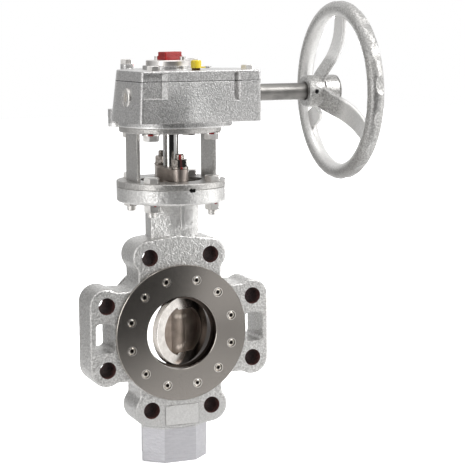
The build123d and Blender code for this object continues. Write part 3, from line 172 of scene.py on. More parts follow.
def reach(tree, a, b):
    """Length of the hypotenuse of two distances."""
    squares = add(tree, "Math", a, a, operation="MULTIPLY")
    squares = add(tree, "Math", b, b, squares, operation="MULTIPLY_ADD")
    return add(tree, "Math", squares, operation="SQRT")


def below(tree, value, limit, soft):
    """1 where a value is under its limit, 0 above, with a soft step."""
    room = add(tree, "Math", limit, value, operation="SUBTRACT")
    return add(tree, "Math", room, soft, operation="DIVIDE", use_clamp=True)


def within(tree, first, *others):
    """1 where all these masks are 1."""
    for mask in others:
        first = add(tree, "Math", first, mask, operation="MULTIPLY")
    return first


def away_from(tree, value, middle):
    """How far a value lies from a middle, to either side."""
    away = add(tree, "Math", value, middle, operation="SUBTRACT")
    return add(tree, "Math", away, operation="ABSOLUTE")


def off_pipe_holes(tree, x, z):
    """Distance to the middle of the nearest of the eight pipe holes, which a fold of their
    circle brings onto each other."""
    pitch = pi / 4
    turn = add(tree, "Math", z, x, operation="ARCTAN2")
    turn = add(tree, "Math", turn, pitch, operation="DIVIDE")
    fold = add(tree, "Math", turn, operation="FRACT")
    fold = add(tree, "Math", fold, 0.5, operation="SUBTRACT")
    fold = add(tree, "Math", fold, pitch, operation="MULTIPLY")
    radius = reach(tree, x, z)
    along = add(tree, "Math", fold, operation="COSINE")
    along = add(tree, "Math", radius, along, -PIPE_CIRCLE, operation="MULTIPLY_ADD")
    across = add(tree, "Math", fold, operation="SINE")
    across = add(tree, "Math", radius, across, operation="MULTIPLY")
    return reach(tree, along, across)


def off_screws(tree, x, z):
    """Distance to the middle of the nearest ring screw. The four quarters mirror each other."""
    x = add(tree, "Math", x, operation="ABSOLUTE")
    z = add(tree, "Math", z, operation="ABSOLUTE")
    nearest = 1.0
    for angle in SCREW_ANGLES:
        side = add(tree, "Math", x, SCREW_CIRCLE * cos(angle), operation="SUBTRACT")
        rise = add(tree, "Math", z, SCREW_CIRCLE * sin(angle), operation="SUBTRACT")
        nearest = add(tree, "Math", nearest, reach(tree, side, rise), operation="MINIMUM")
    return nearest


def lathe_lines(tree, radius, pitch_mm):
    """Fine rings that a turning tool leaves. Drawn coarser than real so that they show."""
    turns = add(tree, "Math", radius, 2 * pi / (pitch_mm * MM), operation="MULTIPLY")
    return add(tree, "Math", turns, operation="SINE")


def dabs(tree, place, spots, size_mm, soft_mm=0.5):
    """1 inside ragged dabs about these points, in millimetres."""
    ragged = add(tree, "TexNoise", place, sockets={"Scale": per_mm(2.2), "Detail": 3.0})
    ragged = add(tree, "Math", ragged, 2.4 * MM, operation="MULTIPLY")
    made = 0.0
    for spot in spots:
        middle = tuple(v * MM for v in spot)
        away = add(tree, "VectorMath", place, middle, operation="DISTANCE", output="Value")
        away = add(tree, "Math", away, ragged)
        dab = below(tree, away, size_mm * MM, soft_mm * MM)
        made = add(tree, "Math", made, dab, operation="MAXIMUM")
    return made


ENAMEL_GLOSS = [(0.3, grey(0.28)), (0.7, grey(0.38))]


def silver_paint(name, pits, skin, crests, grain_mm, lumpiness=0.8, waviness=0.25):
    """Aluminium-pigment enamel over a sand-cast skin. Each grain of the mould left a bump, dark
    in its pits and bright on its crest, and the pigment makes the paint shine partly like metal.
    Gives back the waves too, which the gloss follows."""
    material, tree, place = new_material(name)
    sand = add(tree, "TexNoise", place, sockets={"Scale": per_mm(grain_mm), "Roughness": 0.55})
    lumps = add(tree, "TexNoise", place, sockets={
        "Scale": per_mm(grain_mm * 2.6), "Detail": 1.0})
    waves = add(tree, "TexNoise", place, sockets={"Scale": per_mm(26.0), "Detail": 1.0})
    lumps = add(tree, "Math", lumps, lumpiness, operation="MULTIPLY")
    height = add(tree, "Math", sand, 0.7, lumps, operation="MULTIPLY_ADD")
    tone = add(tree, "ValToRGB", sand, stops=[
        (0.36, tint(pits)), (0.5, tint(skin)), (0.62, tint(crests))])
    tone = laid_over(tree, tone, tint("#a3a09c"), waves, waviness)
    return material, tree, place, tone, height, waves


def painted_notch_shadow(tree, place, tone, right, left):
    """A near-black patch at the joint of the top flange and the plate on it, painted as the
    shadow in a notch there. Right and left are its heights in millimetres."""
    notch_shadow = dabs(tree, place, [(2.5, -62, right), (-0.5, -62, left)], 3.4, 0.3)
    return laid_over(tree, tone, tint("#0c0b0b"), notch_shadow)


def body_casting():
    """The cast body. Its pipe holes are drilled after painting and corrode red-brown, and they
    and its turned bore are painted dark too, as painted shade inside them. Its rear sealing face
    is turned, and its foot was fettled smooth."""
    material, tree, place, tone, height, _ = silver_paint(
        "silver_paint_on_cast_steel", "#a6a4a2", "#bdbcba", "#d2d1cf", 2.1)
    x, y, z = add(tree, "SeparateXYZ", place, output=slice(3))
    radius = reach(tree, x, z)
    hole = below(tree, off_pipe_holes(tree, x, z), PIPE_HOLE + 0.25 * MM, 0.2 * MM)
    bore = below(tree, radius, TURNED_BORE, 0.2 * MM)
    rear_face = within(tree, below(tree, REAR_FACE_Y, y, 0.1 * MM),
                       below(tree, radius, REAR_FACE_RADIUS, 0.2 * MM))
    turned = add(tree, "Math", bore, rear_face, operation="MAXIMUM")
    foot = below(tree, z, FOOT_TOP, 3.0 * MM)
    above_foot = add(tree, "Math", 1.0, foot, operation="SUBTRACT")

    # The foot was ground along its flats, which leaves long low scuffs
    along = add(tree, "Mapping", place, sockets={"Scale": (1, 1, 7)})
    tone = laid_over(tree, tone, mottled(tree, along, 9.0, "#aeadb1", "#b9b8bb", 4.0), foot)

    # The lower lobes are smoother. The bare pad is painted lighter, and a painted shadow runs
    # round its edge
    smooth = within(tree, below(tree, z, LOWER_LOBE_TOP, 16 * MM), above_foot)
    front = below(tree, y, PAD_Y, 1 * MM)
    off_sides = add(tree, "Math", add(tree, "Math", x, operation="ABSOLUTE"), PAD_HALF_WIDTH,
                    operation="SUBTRACT")
    off_ends = add(tree, "Math", away_from(tree, z, PAD_MIDDLE), PAD_HALF_HEIGHT,
                   operation="SUBTRACT")
    off_pad = add(tree, "Math", off_sides, off_ends, operation="MAXIMUM")
    pad = within(tree, front, below(tree, off_pad, -0.3 * MM, 0.4 * MM))
    pad_edge_shadow = within(tree, front, below(tree, off_pad, 1.0 * MM, 0.8 * MM))
    pad_edge_shadow = add(tree, "Math", pad_edge_shadow, pad, operation="SUBTRACT")
    tone = laid_over(tree, tone, tint("#b6b5b4"), smooth, 0.6)
    tone = laid_over(tree, tone, tint("#cfcecc"), pad, 0.5)
    tone = laid_over(tree, tone, tint("#807e7c"), pad_edge_shadow, 0.45)

    # Lighter on the neck and the top flange, and lightest on the neck's panel, where it is a
    # painted highlight
    lighter_top_and_panel_highlight = add(tree, "Math", below(tree, LIGHTER_ABOVE, z, 40 * MM), 0.45,
                operation="MULTIPLY")
    panel_face = within(tree, below(tree, y, NECK_PANEL_Y, 0.3 * MM),
                        below(tree, NECK_PANEL_BOTTOM, z, 10 * MM),
                        below(tree, z, NECK_PANEL_TOP, 0.1 * MM))
    lighter_top_and_panel_highlight = add(tree, "Math", panel_face, 0.4, lighter_top_and_panel_highlight, operation="MULTIPLY_ADD")
    tone = laid_over(tree, tone, tint("#e6e5e3"), lighter_top_and_panel_highlight)

    # Painted shadow of the notch under the plate
    tone = painted_notch_shadow(tree, place, tone, 166.4, 166.2)
    tone = laid_over(tree, tone, tint("#8d8985"), rear_face)
    # Painted shade: the turned bore is painted dark brown
    tone = laid_over(tree, tone, tint("#453c36"), bore)
    # Red-brown corrosion in the pipe holes, painted darker as the shade inside them
    rust_and_shade = mottled(tree, place, 3.0, "#3a1b18", "#5c3530", 3.0, (0.35, 0.65))
    tone = laid_over(tree, tone, rust_and_shade, hole)
    rough = add(tree, "Math", turned, -0.08, 0.34, operation="MULTIPLY_ADD")

    # The mould's grain is gone where the body was cut, and lower where it was fettled
    cut = add(tree, "Math", turned, hole, operation="MAXIMUM")
    neck = below(tree, NECK_BOTTOM, z, 12 * MM)
    for mask, share in ((cut, 1.0), (foot, 0.6), (smooth, 0.4), (neck, 0.45)):
        kept = add(tree, "Math", mask, -share, 1.0, operation="MULTIPLY_ADD")
        height = add(tree, "Math", height, kept, operation="MULTIPLY")
    relief = add(tree, "Math", lathe_lines(tree, radius, 0.9), 0.02, height,
                 operation="MULTIPLY_ADD")
    surface(tree, Base_Color=tone, Normal=dent(tree, relief, 1.1, 1.0, 0.5),
            Metallic=add(tree, "Math", hole, -PIGMENT_METAL, PIGMENT_METAL,
                         operation="MULTIPLY_ADD"),
            Roughness=add(tree, "Math", hole, 0.5, rough, operation="MULTIPLY_ADD"))
    return material


def gear_casting():
    """The gearbox, whose mould left a finer and lower grain than the body's, with an inspector's
    dabs of red on its cover. The flange at its base is brighter."""
    material, tree, place, tone, height, waves = silver_paint(
        "silver_paint_on_cast_iron", "#a7a6a5", "#bfbebd", "#d3d2d1", 1.5, 0.25, 0.12)
    z = add(tree, "SeparateXYZ", place, output="Z")
    tone = laid_over(tree, tone, tint("#f4f3f1"), below(tree, z, GEAR_FLANGE_TOP, 1 * MM), 0.9)
    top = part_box("gearbox_cover")[1].z / MM
    marks = [(-32, 38), (-18, 34), (14, -34), (-8, -36), (30, -30), (56, -24), (64, -34)]
    red = dabs(tree, place, [(x, y, top) for x, y in marks], 4.6)
    surface(tree, Base_Color=laid_over(tree, tone, tint("#b8625c"), red),
            Metallic=PIGMENT_METAL, Roughness=add(tree, "ValToRGB", waves, stops=ENAMEL_GLOSS),
            Normal=dent(tree, height, 0.52, 1.0, 1.0))
    return material


def wheel_casting():
    """The handwheel, fettled smooth before it was painted, so its grain is low. Its spokes are
    painted lighter as painted light, and its lower rim darker as painted shade."""
    material, tree, place, tone, height, waves = silver_paint(
        "silver_paint_on_fettled_iron", "#8d8c8a", "#a8a7a5", "#c0bfbd", 1.9)
    _, y, z = add(tree, "SeparateXYZ", place, output=slice(3))
    radius = reach(tree, add(tree, "Math", y, -SHAFT_Y), add(tree, "Math", z, -SHAFT_Z))
    spokes = within(tree, below(tree, SPOKES_FROM, radius, 8 * MM),
                    below(tree, radius, SPOKES_TO, 6 * MM))
    low_rim = within(tree, below(tree, z, LOW_RIM_TOP, 40 * MM),
                     below(tree, RIM_FROM, radius, 4 * MM))
    # Painted shade on the lower rim, and painted light on the spokes
    tone = laid_over(tree, tone, tint("#7f7d7a"), low_rim, 0.85)
    surface(tree, Base_Color=laid_over(tree, tone, tint("#ebeae8"), spokes, 0.7), Metallic=0.6,
            Roughness=add(tree, "ValToRGB", waves, stops=ENAMEL_GLOSS),
            Normal=dent(tree, height, 0.55, 0.9, 1.0))
    return material


def painted_plate():
    """The same enamel on flame-cut plate: a lower grain than a casting's, with an orange peel,
    and the top of the lower plate darker."""
    material, tree, place, tone, height, waves = silver_paint(
        "silver_paint_on_steel_plate", "#a8a6a3", "#b8b6b3", "#c8c6c3", 1.8)
    z = add(tree, "SeparateXYZ", place, output="Z")
    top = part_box("bracket_lower_plate")[1].z
    # The top of the lower plate is made darker
    darker_top = below(tree, away_from(tree, z, top), 0.3 * MM, 0.1 * MM)
    tone = laid_over(tree, tone, tint("#8e8c89"), darker_top, 0.6)
    # Painted shadow of the notch at the flange's joint
    surface(tree, Base_Color=painted_notch_shadow(tree, place, tone, 166.8, 166.8),
            Metallic=PIGMENT_METAL, Roughness=add(tree, "ValToRGB", waves, stops=ENAMEL_GLOSS),
            Normal=dent(tree, height, 0.45, 1.0, 0.6))
    return material


def turned_stainless():
    """Stainless steel faced on a lathe: rings about the bore that fan each highlight outwards.
    Round each screw the counterbore is painted dark as a painted shadow, inside a painted
    highlight on its chamfer."""
    material, tree, place = new_material("faced_stainless")
    x, _, z = add(tree, "SeparateXYZ", place, output=slice(3))
    radius = reach(tree, x, z)
    chatter = add(tree, "TexNoise", place, sockets={"Scale": per_mm(9.0)})
    wavy = add(tree, "Math", chatter, 0.2 * MM, radius, operation="MULTIPLY_ADD")
    rings = lathe_lines(tree, wavy, 1.3)
    tone = add(tree, "ValToRGB", rings, stops=[(0.0, tint("#8a8580")), (1.0, tint("#9c9791"))])

    # The bore is painted near white and matt on the left as painted light, and dark brown on the
    # right as painted shade
    bore = below(tree, radius, RING_BORE, 0.1 * MM)
    across = add(tree, "Math", x, 10.0, 0.5, operation="MULTIPLY_ADD")
    bore_light_and_shade = add(tree, "ValToRGB", across, stops=[(0.3, tint("#f2efeb")), (0.62, tint("#3d342e"))])
    lit_left_bore = within(tree, bore, below(tree, x, 10 * MM, 20 * MM))
    tone = laid_over(tree, tone, bore_light_and_shade, bore)

    away = off_screws(tree, x, z)
    # Painted highlight on each chamfer and painted shadow in each counterbore
    chamfer = below(tree, away, SCREW_CHAMFER, 0.3 * MM)
    counterbore = below(tree, away, SCREW_COUNTERBORE, 0.1 * MM)
    tone = laid_over(tree, tone, tint("#e6e1da"), chamfer)
    tone = laid_over(tree, tone, tint("#15110e"), counterbore)
    gloss = add(tree, "ValToRGB", rings, stops=[(0.0, grey(0.18)), (1.0, grey(0.24))])
    surface(tree, Base_Color=tone, Roughness=gloss, Anisotropic=0.5, Anisotropic_Rotation=0.25,
            Metallic=add(tree, "Math", lit_left_bore, -0.8, 1.0, operation="MULTIPLY_ADD"),
            Tangent=add(tree, "Tangent", direction_type="RADIAL", axis="Y"),
            Normal=dent(tree, rings, 0.012, 0.5))
    return material


def socket_screws():
    """Socket screws of the ring. The rim of each head is rounded, and its socket is painted dark
    as painted shade.
    """
    material, tree, place = new_material("bright_socket_screw")
    x, _, z = add(tree, "SeparateXYZ", place, output=slice(3))
    stain = add(tree, "TexNoise", place, sockets={"Scale": per_mm(2.5), "Detail": 3.0})
    tone = add(tree, "ValToRGB", stain, stops=[
        (0.35, tint("#b1a99f")), (0.65, tint("#eae5de"))])
    away = off_screws(tree, x, z)
    # Painted shade in each socket
    tone = laid_over(tree, tone, tint("#1b130e"), below(tree, away, SCREW_SOCKET, 0.3 * MM))
    dome = below(tree, away, SCREW_HEAD, 0.9 * MM)
    relief = add(tree, "Math", stain, 0.3, dome, operation="MULTIPLY_ADD")
    surface(tree, Base_Color=tone, Metallic=1.0, Roughness=0.24,
            Normal=dent(tree, relief, 0.6, 0.9))
    return material


def disc_stainless():
    """The disc: its rim and face are turned bright, its cast recess stays brownish and dull."""
    material, tree, place = new_material("turned_and_cast_stainless")
    off_stem = add(tree, "VectorMath", place, (STEM_X, 0, 0), operation="SUBTRACT")
    square_on = (sin(DISC_OPEN), -cos(DISC_OPEN), 0)
    sideways = (cos(DISC_OPEN), sin(DISC_OPEN), 0)
    ahead = add(tree, "VectorMath", off_stem, square_on, operation="DOT_PRODUCT", output="Value")
    beside = add(tree, "VectorMath", off_stem, sideways, operation="DOT_PRODUCT", output="Value")
    beside = add(tree, "Math", beside, STEM_X)
    radius = reach(tree, beside, add(tree, "SeparateXYZ", place, output="Z"))
    cast = within(tree, below(tree, ahead, DISC_FACE, 0.2 * MM),
                  below(tree, radius, DISC_RECESS, 0.2 * MM))

    # Painted highlights on the high ends of the recess, and painted shade on its side away from
    # the light
    dull = mottled(tree, place, 11.0, "#84786e", "#a1958b")
    shaded_side = below(tree, 7 * MM, beside, 12 * MM)
    highlight_spots = [(-2, -13.4, 17), (3, -12.0, 16.5), (8, -9, 16), (13, -5, 15),
                 (0, -13.5, -19), (4, -12, -18.5), (8, -9, -17.5), (12, -6, -16)]
    painted_highlights = dabs(tree, place, highlight_spots, 4.6, 2.2)
    dull = laid_over(tree, dull, tint("#564c45"), shaded_side, 0.6)
    dull = laid_over(tree, dull, tint("#e2d6ca"), painted_highlights, 0.7)

    turned = mottled(tree, place, 7.0, "#b3aea9", "#c9c5c0", 3.0)
    edge = below(tree, DISC_EDGE, radius, 0.3 * MM)
    turned = laid_over(tree, turned, tint("#f8f5f2"), edge)
    sand = add(tree, "TexNoise", place, sockets={"Scale": per_mm(1.8), "Detail": 3.0})
    sand = add(tree, "Math", sand, cast, operation="MULTIPLY")
    relief = add(tree, "Math", lathe_lines(tree, radius, 0.9), 0.03, sand,
                 operation="MULTIPLY_ADD")
    surface(tree, Metallic=1.0, Base_Color=laid_over(tree, turned, dull, cast),
            Roughness=add(tree, "Math", cast, 0.36, 0.2, operation="MULTIPLY_ADD"),
            Normal=dent(tree, relief, 0.15, 0.6))
    return material


def bare_metal(name, dark, light, roughness, grain_mm, stretch=(1, 1, 1)):
    """Bare machined metal: a fine directional grain and slow changes of tone."""
    material, tree, place = new_material(name)
    drawn = add(tree, "Mapping", place, sockets={"Scale": stretch})
    grain = add(tree, "TexNoise", drawn, sockets={
        "Scale": per_mm(grain_mm), "Detail": 3.0, "Roughness": 0.6})
    gloss = add(tree, "ValToRGB", grain, stops=[
        (0.25, grey(roughness * 0.8)), (0.75, grey(roughness * 1.25))])
    surface(tree, Base_Color=mottled(tree, place, 14.0, dark, light), Metallic=1.0,
            Roughness=gloss, Normal=dent(tree, grain, 0.03, 0.5))
    return material


def zinc_plate(name, spots=(), size_mm=0.0):
    """Zinc plate, a little dulled by paint mist, with an inspector's dabs of red at any spots."""
    material, tree, place = new_material(name)
    tone, metal, rough = mottled(tree, place, 8.0, "#cfccc8", "#f0eeeb"), 0.95, 0.3
    if spots:
        red = dabs(tree, place, spots, size_mm)
        tone = laid_over(tree, tone, tint("#8c1d1d"), red)
        metal = add(tree, "Math", red, -0.9, metal, operation="MULTIPLY_ADD")
        rough = add(tree, "Math", red, 0.2, rough, operation="MULTIPLY_ADD")
    pores = add(tree, "TexNoise", place, sockets={"Scale": per_mm(1.2)})
    surface(tree, Base_Color=tone, Metallic=metal, Roughness=rough,
            Normal=dent(tree, pores, 0.06, 0.6, 0.5))
    return material


def gland_fasteners():
    """Studs, nuts and washers of the gland. The inspector's red stripe runs down their front,
    and the front flat of each nut is nearly black."""
    material, tree, place = new_material("red_striped_gland_zinc")
    x, y, z = add(tree, "SeparateXYZ", place, output=slice(3))
    ragged = add(tree, "TexNoise", place, sockets={"Scale": per_mm(2.0), "Detail": 3.0})
    off_stripe = add(tree, "Math", ragged, 1.6 * MM, away_from(tree, x, GLAND_STRIPE_X),
                     operation="MULTIPLY_ADD")
    stripe = within(tree, below(tree, off_stripe, GLAND_STRIPE_HALF_WIDTH, 0.3 * MM),
                    below(tree, y, GLAND_STRIPE_Y, 0.4 * MM))
    darkened_front_flat = within(tree, below(tree, z, GLAND_NUT_HIGH, 0.2 * MM),
                     below(tree, GLAND_NUT_LOW, z, 0.2 * MM),
                     below(tree, y, GLAND_NUT_FRONT, 0.3 * MM))
    red = within(tree, stripe, add(tree, "Math", darkened_front_flat, -0.8, 1.0, operation="MULTIPLY_ADD"))
    tone = mottled(tree, place, 3.0, "#7d756f", "#b9b2ab", 3.0, (0.35, 0.65))
    # The front flat of each nut is made nearly black
    tone = laid_over(tree, tone, tint("#191715"), darkened_front_flat)
    tone = laid_over(tree, tone, tint("#8a1418"), red)
    covered = add(tree, "Math", red, darkened_front_flat, operation="MAXIMUM")
    pores = add(tree, "TexNoise", place, sockets={"Scale": per_mm(1.2)})
    surface(tree, Base_Color=tone,
            Metallic=add(tree, "Math", covered, -0.8, 1.0, operation="MULTIPLY_ADD"),
            Roughness=add(tree, "Math", stripe, 0.2, 0.26, operation="MULTIPLY_ADD"),
            Normal=dent(tree, pores, 0.05, 0.5, 0.5))
    return material


def moulded_plastic(name, dark, light, roughness, coat):
    """Injection-moulded plastic with a satin skin and faint flow marks."""
    material, tree, place = new_material(name)
    skin = add(tree, "TexNoise", place, sockets={"Scale": per_mm(0.9)})
    surface(tree, Base_Color=mottled(tree, place, 12.0, dark, light, 1.0), Roughness=roughness,
            IOR=1.5, Coat_Weight=coat, Normal=dent(tree, skin, 0.03, 0.5))
    return material


def soft_seal(name, dark, light, roughness):
    """Rubber or pressed graphite: dull, with a fine pressed grain."""
    material, tree, place = new_material(name)
    grain = add(tree, "TexNoise", place, sockets={"Scale": per_mm(0.8), "Detail": 3.0})
    tone = add(tree, "ValToRGB", grain, stops=[(0.3, tint(dark)), (0.7, tint(light))])
    surface(tree, Base_Color=tone, Roughness=roughness, Normal=dent(tree, grain, 0.05, 0.6))
    return material


# In millimetres: the bracket's bolts stand on a square about the stem, and the gland's studs
# before and behind it
BRACKET_BOLTS = [(STEM_X / MM + sx * 36.06, sy * 36.06) for sx in (-1, 1) for sy in (-1, 1)]
GLAND_STUDS = [(STEM_X / MM, sy * 28.0) for sy in (-1, 1)]

body_paint = body_casting()
bright_zinc = zinc_plate("bright_zinc_plate")
gland_zinc = gland_fasteners()
finishes = {
    body_paint: ("valve_body",),
    gear_casting(): ("gearbox_housing", "gearbox_cover", "vent_plug"),
    wheel_casting(): ("handwheel",),
    painted_plate(): (
        "bracket_lower_plate", "bracket_upper_plate", "bracket_left_post", "bracket_right_post"),
    turned_stainless(): ("retainer_ring", "upper_bearing", "lower_bearing", "packing_washer"),
    socket_screws(): ("retainer_screws",),
    disc_stainless(): ("disc",),
    bare_metal("blasted_gland_stainless", "#a29891", "#b9afa7", 0.4, 1.2, (1, 1, 8)): (
        "gland_flange", "gland_bush"),
    bare_metal("ground_stem_stainless", "#b9b8b6", "#d6d5d3", 0.12, 0.8, (1, 1, 10)): (
        "stem", "disc_pins"),
    bare_metal("laminated_seat_stainless", "#4f4741", "#655b54", 0.34, 0.8): (
        "seat_steel_layers",),
    bare_metal("turned_shaft_steel", "#6f6d6b", "#868481", 0.36, 0.9, (10, 1, 1)): (
        "worm_shaft",),
    bare_metal("machined_indicator_aluminium", "#bdbab7", "#d3d0cd", 0.36, 0.8): (
        "indicator_base", "indicator_screws"),
    bright_zinc: ("gearbox_bolts", "cover_bolts", "stop_screws", "stop_lock_nuts", "side_plug"),
    zinc_plate("red_marked_washers", [(x - 4, y - 9.5, 227.5) for x, y in BRACKET_BOLTS], 4.5): (
        "gearbox_washers",),
    zinc_plate("red_marked_bracket_nuts",
               [(x + 1, y - 8, 149.6) for x, y in BRACKET_BOLTS], 3.2): (
        "bracket_nuts", "bracket_bolts"),
    gland_zinc: ("gland_nuts", "gland_studs", "gland_washers"),
    bare_metal("blackened_steel", "#2a2a2b", "#3e3e40", 0.4, 1.0): (
        "bottom_plug", "inner_thrust_washer", "outer_thrust_washer", "shaft_circlip",
        "stem_key", "handwheel_pin"),
    bare_metal("hobbed_ductile_iron", "#55534f", "#6f6c67", 0.42, 1.5): ("worm_wheel",),
    bare_metal("nipple_brass", "#5b4630", "#7a6040", 0.3, 1.0): ("grease_nipple",),
    bare_metal("bearing_bronze", "#8d6330", "#b78a4d", 0.3, 1.0, (1, 1, 6)): (
        "stem_thrust_pad", "lower_wheel_bush", "upper_wheel_bush", "wheel_thrust_washer",
        "worm_inner_bush", "worm_outer_bush"),
    soft_seal("pressed_graphite", "#1c1c1d", "#2f2f31", 0.6): (
        "retainer_gasket", "seat_graphite_layers", "plug_gasket", "packing_rings",
        "cover_gasket"),
    soft_seal("nitrile_rubber", "#101010", "#1c1c1c", 0.7): (
        "stem_seal", "shaft_seal", "indicator_seal"),
    moulded_plastic("moulded_red_pointer", "#8e0a0c", "#a81412", 0.4, 0.1): (
        "indicator_pointer",),
    moulded_plastic("moulded_yellow_cap", "#d9bf1c", "#e8cf33", 0.4, 0.1): ("grease_cap",),
}
for material, names in finishes.items():
    for name in names:
        nodes[name].data.materials.clear()
        nodes[name].data.materials.append(material)


def shaped(name, points, faces, material, smooth=True):
    """An object of this mesh, in the scene."""
    mesh = bpy.data.meshes.new(name)
    mesh.from_pydata(points, [], faces)
    mesh.polygons.foreach_set("use_smooth", [smooth] * len(mesh.polygons))
    mesh.materials.append(material)
    made = bpy.data.objects.new(name, mesh)
    bpy.context.scene.collection.objects.link(made)
    return made


# Thread of the bolts and studs, in millimetres. Its root lies a little inside the shank
THREAD_RADIUS = 5.0
THREAD_PITCH = 1.5
THREAD_DEPTH = 0.42
THREAD_SUNK = 0.06


def thread(name, x_mm, y_mm, low_mm, high_mm, material):
    """The ridges of a screw thread on the end of a bolt or a stud that stands upright. One
    surface winds round with the pitch, so each cut follows its helix."""
    around = 36
    rows = max(8, round((high_mm - low_mm) / THREAD_PITCH * 6))
    points, faces = [], []
    for row in range(rows + 1):
        z = low_mm + (high_mm - low_mm) * row / rows
        fade = min(1.0, (high_mm - z) / THREAD_PITCH, (z - low_mm) / THREAD_PITCH)
        for step in range(around):
            angle = 2 * pi * step / around
            phase = (z / THREAD_PITCH - step / around) % 1.0
            r = THREAD_RADIUS + (THREAD_DEPTH * (1 - abs(2 * phase - 1)) - THREAD_SUNK) * fade
            points.append(((x_mm + r * cos(angle)) * MM, (y_mm + r * sin(angle)) * MM, z * MM))
    for row in range(rows):
        for step in range(around):
            a, b = row * around + step, row * around + (step + 1) % around
            faces.append((a, b, b + around, a + around))
    made = shaped(name, points, faces, material)
    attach(made, "valve")


stud_low, stud_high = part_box("gland_nuts")[1].z / MM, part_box("gland_studs")[1].z / MM
for index, (x, y) in enumerate(GLAND_STUDS):
    thread(f"gland_stud_thread_{index + 1}", x, y, stud_low - 0.5, stud_high - 0.8, gland_zinc)
bolt_low, bolt_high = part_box("bracket_bolts")[0].z / MM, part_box("bracket_nuts")[0].z / MM
for index, (x, y) in enumerate(BRACKET_BOLTS):
    thread(f"bracket_bolt_thread_{index + 1}", x, y, bolt_low + 0.8, bolt_high + 0.5, bright_zinc)


def neck_panel():
    """The bare raised panel on the front of the neck, which runs down into the upper lobe. Its
    plan and its heights are in millimetres."""
    plan = [(2.5, -20.0), (0.6, -22.4), (0.7, -23.3), (1.5, -24.1), (5.5, -24.3), (9.0, -24.35),
            (12.5, -24.3), (16.0, -24.1), (17.6, -23.3), (18.0, -22.2), (16.5, -20.0)]
    low, tall, rows = 108.0, 42.2, 28
    points, faces = [], []
    for row in range(rows + 1):
        z = low + tall * row / rows
        sunk = min(1.0, max(0.0, (124.0 - z) / 9.0))
        for x, y in plan:
            lump = fractal(Vector((x / 5, y / 5, z / 5)), 1.0, 2.0, 2) if y < -22 else 0.0
            front = min(y + 1.1 * sunk * (y < -22.3), -19.9)
            points.append((x * MM, (front + 0.12 * lump) * MM, z * MM))
    wide = len(plan)
    for row in range(rows):
        for step in range(wide - 1):
            a = row * wide + step
            faces.append((a, a + 1, a + 1 + wide, a + wide))
    made = shaped("neck_panel", points, faces, body_paint)
    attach(made, "valve")


neck_panel()

# The studio about the valve, and its floor at the foot
MIDDLE = Vector((0.04, 0.0, 0.08))
FLOOR_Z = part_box("valve_body")[0].z


def around_valve(azimuth, elevation, distance):
    """A point of the studio. Azimuth 0 is in front of the ring, and 90 is to the right."""
    a, e = radians(azimuth), radians(elevation)
    return MIDDLE + distance * Vector((sin(a) * cos(e), -cos(a) * cos(e), sin(e)))


def panel(name, corners, material):
    """A flat four-cornered panel of the studio."""
    made = shaped(name, [tuple(c) for c in corners], [(0, 1, 2, 3)], material, smooth=False)
    return made


def flag(name, corners, level):
    """A card that only reflections see. It throws no light or shadow on the valve."""
    material, tree, place = new_material(f"{name}_card")
    surface(tree, Base_Color=grey(0.0), Roughness=1.0, Specular_IOR_Level=0.0,
            Emission_Color=grey(1.0), Emission_Strength=level(tree, place))
    made = panel(name, corners, material)
    made.visible_camera = made.visible_shadow = False
    made.visible_diffuse = made.visible_transmission = False


def white_floor():
    """A matt floor that keeps the valve's shadow, and is white to the camera further out."""
    material, tree, place = new_material("white_floor")
    x, y, _ = add(tree, "SeparateXYZ", place, output=slice(3))
    near = below(tree, reach(tree, x, y), 0.9, 0.6)
    level = add(tree, "Math", near, -0.5, 1.12, operation="MULTIPLY_ADD")
    seen = add(tree, "Math", add(tree, "LightPath", output="Is Camera Ray"),
               add(tree, "LightPath", output="Is Transmission Ray"), operation="MAXIMUM")
    shown = add(tree, "Math", seen, level, operation="MULTIPLY")
    mirrored = add(tree, "LightPath", output="Is Glossy Ray")
    surface(tree, Base_Color=tint("#f0f0f0"), Roughness=0.9, Specular_IOR_Level=0.1,
            Emission_Color=grey(1.0),
            Emission_Strength=add(tree, "Math", mirrored, 0.3, shown, operation="MULTIPLY_ADD"))
    return material


panel("floor", [(-6, -6, FLOOR_Z), (6, -6, FLOOR_Z), (6, 6, FLOOR_Z), (-6, 6, FLOOR_Z)],
      white_floor())

# In front: a black card that the left of the front faces mirrors
flag("front_flag", [around_valve(azimuth, elevation, 1.0) for azimuth, elevation in (
    (-46, -30), (14, -30), (23, 30), (-46, 30))], lambda tree, place: 0.02)


def ring_card(tree, place):
    """Dark from nine to half past twelve, as the ring shows it, and lighter round the rest."""
    x, _, z = add(tree, "SeparateXYZ", place, output=slice(3))
    rise, side = add(tree, "Math", z, 0.06), add(tree, "Math", x, -0.1)
    turn = add(tree, "Math", rise, side, operation="ARCTAN2")
    turn = add(tree, "Math", turn, 2 * pi, operation="DIVIDE")
    turn = add(tree, "Math", turn, 0.5)
    levels = ((0.0, 0.1), (0.06, 0.35), (0.14, 0.8), (0.27, 0.9), (0.4, 1.0), (0.5, 0.6),
              (0.58, 1.1), (0.68, 1.0), (0.72, 0.25), (0.8, 0.08), (1.0, 0.1))
    return add(tree, "ValToRGB", turn, stops=[(at, grey(level)) for at, level in levels])


flag("ring_card", [(x, -0.3, z) for x, z in (
    (-0.04, -0.15), (0.24, -0.15), (0.24, 0.075), (-0.04, 0.075))], ring_card)


def rear_card(tree, place):
    """Mid grey where the left faces mirror it, and white where the spokes of the handwheel do."""
    x = add(tree, "SeparateXYZ", place, output="X")
    return add(tree, "ValToRGB", add(tree, "Math", x, 0.5),
               stops=[(0.36, grey(0.4)), (0.5, grey(1.0))])


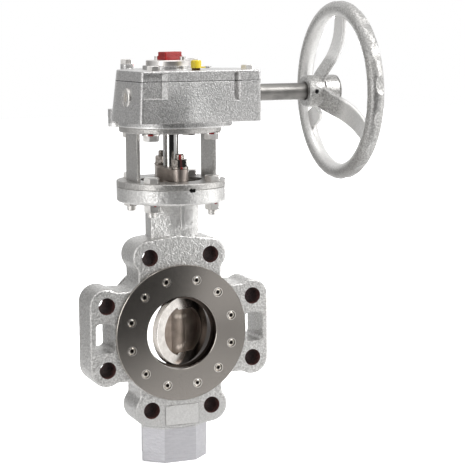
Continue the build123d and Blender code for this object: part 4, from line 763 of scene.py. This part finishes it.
flag("rear_card", [(x, 0.5, z) for x, z in (
    (-1.0, -0.15), (0.3, -0.15), (0.3, 0.6), (-1.0, 0.6))], rear_card)

# White all round to the camera and in reflections, and dim as a light
world = bpy.data.worlds.new("studio")
bpy.context.scene.world = world
world.use_nodes = True
tree = world.node_tree
tree.nodes.clear()
seen = add(tree, "LightPath", output="Is Camera Ray")
for ray in ("Is Glossy Ray", "Is Transmission Ray"):
    seen = add(tree, "Math", seen, add(tree, "LightPath", output=ray), operation="MAXIMUM")
dim = add(tree, "Background", grey(1.0), 0.3)
white = add(tree, "Background", grey(1.0), 1.0)
add(tree, "OutputWorld", add(tree, "MixShader", seen, dim, white))


def softbox(name, azimuth, elevation, distance, width, height, power):
    """A soft lamp that faces the valve."""
    lamp = bpy.data.lights.new(name, "AREA")
    lamp.shape = "RECTANGLE"
    lamp.size, lamp.size_y = width, height
    lamp.energy = power
    made = bpy.data.objects.new(name, lamp)
    made.location = around_valve(azimuth, elevation, distance)
    made.rotation_euler = (MIDDLE - made.location).to_track_quat("-Z", "Y").to_euler()
    bpy.context.scene.collection.objects.link(made)


softbox("key_right", 48, 40, 1.9, 0.8, 0.8, 25)
softbox("side_right", 76, 4, 1.7, 0.7, 1.3, 7)
softbox("strip_left", -64, 10, 1.6, 0.35, 1.3, 5.5)
softbox("overhead", 0, 86, 1.6, 1.0, 1.0, 8)
softbox("back_left", -168, 22, 1.2, 0.6, 0.6, 3)
softbox("back_right", 148, 2, 1.3, 0.4, 0.4, 5)

# Camera at the photograph's place and angle
camera = bpy.data.cameras.new("camera")
camera.sensor_width = 36.0
camera.lens = 120.46
eye = bpy.data.objects.new("camera", camera)
bpy.context.scene.collection.objects.link(eye)
eye.location = (-0.59711, -1.65995, 0.35662)
look = Matrix.Rotation(radians(-21.99), 4, "Z") @ Matrix.Rotation(radians(90 - 7.91), 4, "X")
eye.rotation_euler = (look @ Matrix.Rotation(radians(-0.34), 4, "Z")).to_euler()
bpy.context.scene.camera = eye
bpy.context.scene.view_settings.view_transform = "Standard"
